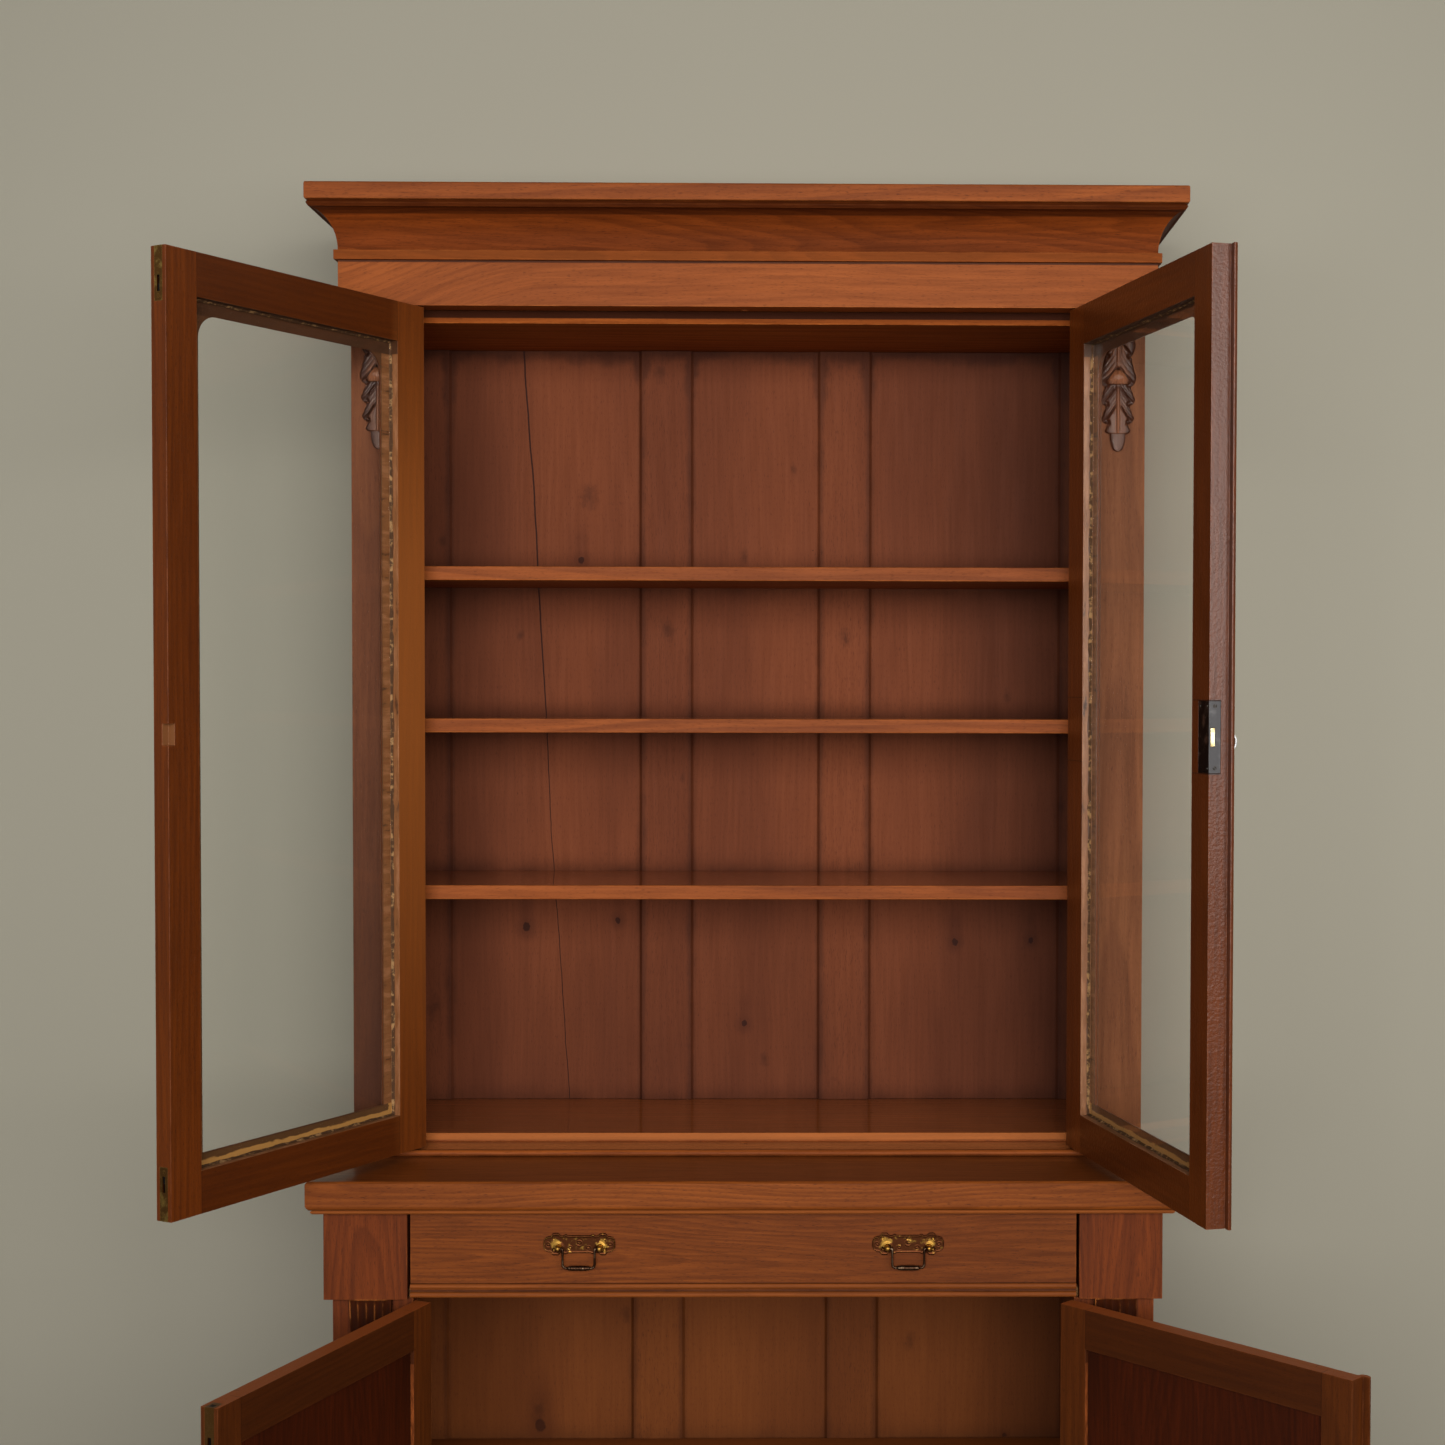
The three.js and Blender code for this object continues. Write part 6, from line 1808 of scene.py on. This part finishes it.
GRIP_STEPS = 60
GRIP = {"radius": 3.3, "taper": 1.0, "ribs": 0.3, "end": 0.985, "end_radius": 1.7}
RUB_NOISE = {"Scale": 160.0, "Detail": 3}
RUB_RAGGED = 22 * MM
RUB_EDGE = (18.5 * MM, 15.5 * MM)
RUB_SET = 3 * MM
RUB_SHARE = 0.6


def plate_front(side):
    def front(u, v):
        half = PLATE_HALF_HEIGHT * between(PLATE_OUTLINE, abs(u))
        x, z = PLATE_HALF_WIDTH * u, half * (1 - 2 * v)
        rim = max(abs(1 - 2 * v), abs(u) ** 8)
        height = PLATE_FIELD + PLATE_RIM["height"] * lobe(rim, PLATE_RIM["place"], PLATE_RIM["width"])
        for share, lift, size in SCROLLS:
            for mirror in (-1, 1):
                a = (x - mirror * share * PLATE_HALF_WIDTH) / MM
                b = z / MM - lift * PLATE_HALF_HEIGHT / MM
                away = math.hypot(a, b)
                swirl = math.cos(math.atan2(b, a * mirror) + away * SCROLL_TWIST)
                height += SCROLL_HEIGHT * swirl * max(0, 1 - away / size)
        post = math.hypot(abs(x) - POST_X, z + HANDLE_Z - PIVOT_Z)
        height += BOSS["height"] * lobe(post, BOSS["radius"], BOSS["width"])
        hole_x, hole_z, hole_radius = WING_HOLES
        outer, slope = (hole_radius * share for share in WING_SHARES)
        hole = math.hypot(abs(x) - hole_x, abs(z) - hole_z)
        height -= WING_DEPTH * max(0, min(1, (outer - hole) / slope))
        edge = max(0, rim - PLATE_EDGE["start"]) / (1 - PLATE_EDGE["start"])
        height = max(PLATE_LEAST, height) * (1 - PLATE_EDGE["fall"] * edge)
        return Vector((side * HANDLE_X + x, HANDLE_FRONT - height, HANDLE_Z + z))
    return front


def handle_posts(side):
    shapes = []
    for mirror in (-1, 1):
        x = side * HANDLE_X + mirror * POST_X
        path = [(x, HANDLE_FRONT - depth * MM, PIVOT_Z) for depth, _ in POST_PROFILE]
        shapes.append(tube(path, [radius * MM for _, radius in POST_PROFILE], sides=20))
    return gather(*shapes)


def bail_arm():
    """From the pivot to the grip: the distance from the middle, the level and the radius in millimetres."""
    spots = list(BAIL_ARM)
    for step in range(BAIL_CORNER_STEPS + 1):
        angle = math.pi / 2 * step / BAIL_CORNER_STEPS
        spots.append((
            BAIL_HALF_WIDTH - BAIL_CORNER * (1 - math.cos(angle)),
            PIVOT_Z - BAIL_DROP + BAIL_CORNER * (1 - math.sin(angle)),
            BAIL_CORNER_RADIUS,
        ))
    return spots


def bail_grip():
    spots = []
    for step in range(GRIP_STEPS + 1):
        along = -1 + 2 * step / GRIP_STEPS
        ribs = GRIP["ribs"] * abs(math.sin(4 * math.pi * (along + 1)))
        radius = GRIP["radius"] - GRIP["taper"] * along ** 4 + ribs
        if abs(along) > GRIP["end"]:
            radius = GRIP["end_radius"]
        spots.append((GRIP_HALF * along, PIVOT_Z - BAIL_DROP, radius))
    return spots


def bail_shape(side):
    arm = bail_arm()
    spots = [(-x, z, radius) for x, z, radius in arm] + bail_grip() + arm[::-1]
    path = [(side * HANDLE_X + x, PIVOT_Y, z) for x, z, _ in spots]
    return tube(path, [radius * MM for _, _, radius in spots], sides=14)


def handle_brass():
    """Cast brass, bright round the posts."""
    material = metal("handle_brass", CAST, scale=110, polished=0.62)
    tree = material.node_tree
    place = add_node(tree, "ShaderNodeTexCoord").outputs["Object"]
    x, y, z = split(tree, place)
    from_handle = maths(tree, "SUBTRACT", maths(tree, "ABSOLUTE", x), HANDLE_X)
    from_post = maths(tree, "SUBTRACT", maths(tree, "ABSOLUTE", from_handle), POST_X + RUB_SET)
    lift = maths(tree, "SUBTRACT", z, HANDLE_Z)
    away = vector_maths(tree, "LENGTH", joined(tree, from_post, lift, 0.0))
    cloud = add_node(tree, "ShaderNodeTexNoise", {"Vector": place, **RUB_NOISE})
    ragged = maths(tree, "MULTIPLY_ADD", cloud.outputs[0], RUB_RAGGED, away)
    retint(tree, ramp(tree, ragged, *RUB_EDGE), RUB_SHARE, CAST["bright"])
    return material


HANDLE_BRASS = handle_brass()
BAIL_BRONZE = metal("bail_bronze", BRONZE, polished=0.5)
for word, side in (("left", -1), ("right", 1)):
    plate = gather(relief(44, 150, plate_front(side), HANDLE_FRONT), handle_posts(side))
    made = piece("cast_plate_" + word, plate, HANDLE_BRASS, "cast_brass", "drawer", crisp=55)
    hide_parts("handle_plate_" + word)
    made = piece("cast_bail_" + word, bail_shape(side), BAIL_BRONZE, "cast_brass", "bail_" + word, crisp=55)
    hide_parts("handle_bail_" + word)

# %% [markdown]
# ## Door fittings
#
# A butt hinge is two brass leaves folded round one pin, a flush bolt slides behind a slotted plate that is
# let into the door's free edge, and the lock's edge plate is screwed over its case. The fittings are laid out
# in the door's own space and then turned with it. Putty holds each pane: a ragged fillet in the corner
# between the glass and the rebate.

# %% Door fittings
KNUCKLE_RADIUS = 4.12 * MM
PIN_RADIUS = 1.95 * MM
LEAF_FACE = (0.12 * MM, 0.4 * MM)
LEAF_SPAN = (4.8 * MM, 22 * MM)
FLUSH_PLATE = (9.9 * MM, 22.9 * MM)
FLUSH_LENGTH = 66 * MM
FLUSH_SLOT = (35 * MM, 55 * MM)
FLUSH_SLOT_SPAN = (13.9 * MM, 18.9 * MM)
FLUSH_THICKNESS = 0.6 * MM
FLUSH_PROUD = 0.05 * MM
CAP_REACH = 16 * MM
CAP_HOLE = (9.9 * MM, 2.9 * MM)
CAP_HOLE_SPAN = (13.0 * MM, 19.8 * MM)
BOLT_SCREW_RISE = 0.16 * MM
SCREW_RADIUS = 2.5 * MM
LEAF_SCREWS = (-0.36, 0, 0.36)
LEAF_SCREW_ROWS = (16 * MM, 11 * MM)
LEAF_SCREW_LEVELS = (0.02 * MM, 0.2 * MM)
BOLT_SCREWS = (9 * MM, 60 * MM)
LOCK_SCREW_Y = 20.9 * MM
LOCK_SCREWS = (-37 * MM, 37 * MM)
LOCK_SCREW_LEVELS = (-0.1 * MM, 0.14 * MM)
RIVETS_SET_IN = (6 * MM, 26 * MM)
RIVET_DOME = [(1.7, -0.1), (1.6, 0.35), (1.0, 0.75), (0.2, 0.9)]
LOCK_HEIGHTS = {"upper_door_right": 588.5 * MM, "base_door_right": 314.75 * MM}
LOCK_CASE_BACK = 28.4 * MM
PANE_BACK = 15.7 * MM
KNUCKLE_GAP = 0.3 * MM
KNUCKLE_EASE = 0.25 * MM
PUTTY_STEP = 4 * MM
PUTTY_GAP = 0.15 * MM
PUTTY_WAVES = [(55, 3.7), (170, 9.1)]
PUTTY_REACH = (2.2, 1.1, 0.6)
PUTTY_CLIMB = (3.4, 2.4, 1.2)
PUTTY_HOLLOW = 0.45
PUTTY_NOISE = {"Scale": 90.0, "Detail": 5, "Roughness": 0.7}
PUTTY_COLOURS = (rgb(76, 50, 30), rgb(160, 122, 80))
PUTTY_BUMP = {"Strength": 0.6, "Distance": 0.8 * MM}
PUTTY_LIGHTS = (0.5, 0.62)
PUTTY_ROUGHNESS = 0.8
PUTTY_GLOSS = 0.2


def door_matrix(name):
    pin, side, angle = door_stance(name)
    return Matrix.Translation(pin) @ Matrix.Rotation(angle, 4, "Z") @ Matrix.Diagonal((-side, 1, 1, 1))


def sleeve(low, high, outer, inner, sides=28):
    """An upright ring round the pin, with eased rims."""
    ease = KNUCKLE_EASE
    profile = [(inner, low), (outer - ease, low), (outer, low + ease),
               (outer, high - ease), (outer - ease, high), (inner, high)]
    points, faces = [], []
    for step in range(sides):
        angle = 2 * math.pi * step / sides
        points += [(radius * math.cos(angle), radius * math.sin(angle), z) for radius, z in profile]
    count = len(profile)
    for step in range(sides):
        here, after = step * count, (step + 1) % sides * count
        for i in range(count):
            j = (i + 1) % count
            faces.append([here + i, after + i, after + j, here + j])
    return points, faces


def box(x, y, z):
    return prism([(y[0], z[0]), (y[1], z[0]), (y[1], z[1]), (y[0], z[1])], *x)


def hinge_leaf(height, length):
    half = length / 2
    knuckle = length / 6 - KNUCKLE_GAP
    shapes = [
        box(LEAF_FACE, LEAF_SPAN, (height - half, height + half)),
        sleeve(height - knuckle, height + knuckle, KNUCKLE_RADIUS, PIN_RADIUS),
    ]
    for number, share in enumerate(LEAF_SCREWS):
        y = LEAF_SCREW_ROWS[number % 2]
        z = height + share * length
        shapes.append(screw_head(y, z, SCREW_RADIUS, *LEAF_SCREW_LEVELS, tilt=0.9 + number))
    return gather(*shapes)


def flush_plate(door, end):
    """The slotted plate on the free edge. end is 1 at the door's top and -1 at its foot."""
    free, height = door["free"], door["height"]

    def level(distance):
        return height - distance if end > 0 else distance

    def span(near, far):
        return tuple(sorted((level(near), level(far))))

    inner = free - FLUSH_THICKNESS
    shapes = [framed_plate((FLUSH_PLATE, span(0, FLUSH_LENGTH)), (FLUSH_SLOT_SPAN, span(*FLUSH_SLOT)),
                           inner, free + FLUSH_PROUD)]
    middle = sum(FLUSH_PLATE) / 2
    for number, distance in enumerate(BOLT_SCREWS):
        z = level(distance)
        shapes.append(screw_head(middle, z, SCREW_RADIUS, free, free + BOLT_SCREW_RISE, tilt=0.4 + number))
    low, high = span(-FLUSH_PROUD, FLUSH_THICKNESS)
    hole = tuple(free - reach for reach in CAP_HOLE)
    cap = framed_plate(((free - CAP_REACH, inner), FLUSH_PLATE), (hole, CAP_HOLE_SPAN), low, high, axis="Z")
    return gather(*shapes, cap)


def lock_trim(door, height):
    """Screws in the edge plate and rivets on the back of the case."""
    free = door["free"]
    shapes = []
    radii = [radius * MM for radius, _ in RIVET_DOME]
    for number, rise in enumerate(LOCK_SCREWS):
        low, high = (free + level for level in LOCK_SCREW_LEVELS)
        shapes.append(screw_head(LOCK_SCREW_Y, height + rise, SCREW_RADIUS, low, high, tilt=0.7 + number))
        for set_in in RIVETS_SET_IN:
            path = [(free - set_in, LOCK_CASE_BACK + proud * MM, height + rise) for _, proud in RIVET_DOME]
            shapes.append(tube(path, radii, sides=14))
    return gather(*shapes)


def putty_fillet(door):
    """A closed ring with a three-cornered section round the rebate."""
    left, right, foot, top = door["sight"]
    left, right, foot, top = left - REBATE_LAP, right + REBATE_LAP, foot - REBATE_LAP, top + REBATE_LAP
    corners = [(left, foot), (right, foot), (right, top), (left, top)]
    points, faces = [], []
    for index, (x, z) in enumerate(corners):
        next_x, next_z = corners[(index + 1) % 4]
        steps = round(math.hypot(next_x - x, next_z - z) / PUTTY_STEP)
        for step in range(steps):
            share = step / steps
            here = (x + (next_x - x) * share, z + (next_z - z) * share)
            if step == 0:
                inward = (1 if x == left else -1, 1 if z == foot else -1)
            elif next_z == z:
                inward = (0, 1 if z == foot else -1)
            else:
                inward = (1 if x == left else -1, 0)
            rough, finer = (noise.noise(Vector((here[0] * scale, here[1] * scale, level)))
                            for scale, level in PUTTY_WAVES)
            reach, climb = ((least + coarse * rough + fine * finer) * MM
                            for least, coarse, fine in (PUTTY_REACH, PUTTY_CLIMB))
            for out, up in ((0, 0), (1, 0), (PUTTY_HOLLOW, PUTTY_HOLLOW), (0, 1)):
                points.append((
                    here[0] + inward[0] * (PUTTY_GAP + reach * out),
                    PANE_BACK + climb * up,
                    here[1] + inward[1] * (PUTTY_GAP + reach * out),
                ))
    count = len(points) // 4
    for ring in range(count):
        here, after = ring * 4, (ring + 1) % count * 4
        for i in range(4):
            j = (i + 1) % 4
            faces.append([here + i, here + j, after + j, after + i])
    return points, faces


def old_putty():
    material, tree = tree_of("old_putty")
    shader = tree.nodes["Principled BSDF"]
    place = add_node(tree, "ShaderNodeTexCoord").outputs["Object"]
    cloud = add_node(tree, "ShaderNodeTexNoise", {"Vector": place, **PUTTY_NOISE})
    pale = ramp(tree, cloud.outputs[0], *PUTTY_LIGHTS)
    tree.links.new(mixed(tree, pale, *PUTTY_COLOURS), shader.inputs["Base Color"])
    shader.inputs["Roughness"].default_value = PUTTY_ROUGHNESS
    shader.inputs["Specular IOR Level"].default_value = PUTTY_GLOSS
    bump = add_node(tree, "ShaderNodeBump", {"Height": cloud.outputs[0], **PUTTY_BUMP})
    tree.links.new(bump.outputs[0], shader.inputs["Normal"])
    return material


PUTTY = old_putty()
BROWN_BRASS = metal("brown_brass", dict(TARNISHED, bright=rgb(150, 112, 66)), polished=0.6)
for name, door in DOORS.items():
    matrix = door_matrix(name)
    leaves = [hinge_leaf(height, door["hinge_length"]) for height in door["hinge_heights"]]
    piece(name + "_hinge_leaves", moved(gather(*leaves), matrix), BRASS, "brass", name)
    if name == "upper_door_left":
        plates = gather(flush_plate(door, 1), flush_plate(door, -1))
        piece(name + "_bolt_plates", moved(plates, matrix), BRASS, "brass", name)
    elif name == "base_door_left":
        piece(name + "_bolt_plates", moved(flush_plate(door, 1), matrix), BROWN_BRASS, "brass", name)
    if name in LOCK_HEIGHTS:
        trim = moved(lock_trim(door, LOCK_HEIGHTS[name]), matrix)
        piece(name + "_lock_trim", trim, STEEL, "steel", name)
    if door is UPPER_DOOR:
        piece(name + "_putty", moved(putty_fillet(door), matrix), PUTTY, "mahogany", name, crisp=25)

# %% [markdown]
# ## Finish
#
# The sizes of the box are kept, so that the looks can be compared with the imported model.

# %% Finish
boxes = {"cad": cad_box, "visual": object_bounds()}
{name: [list(corner) for corner in box] for name, box in boxes.items()}
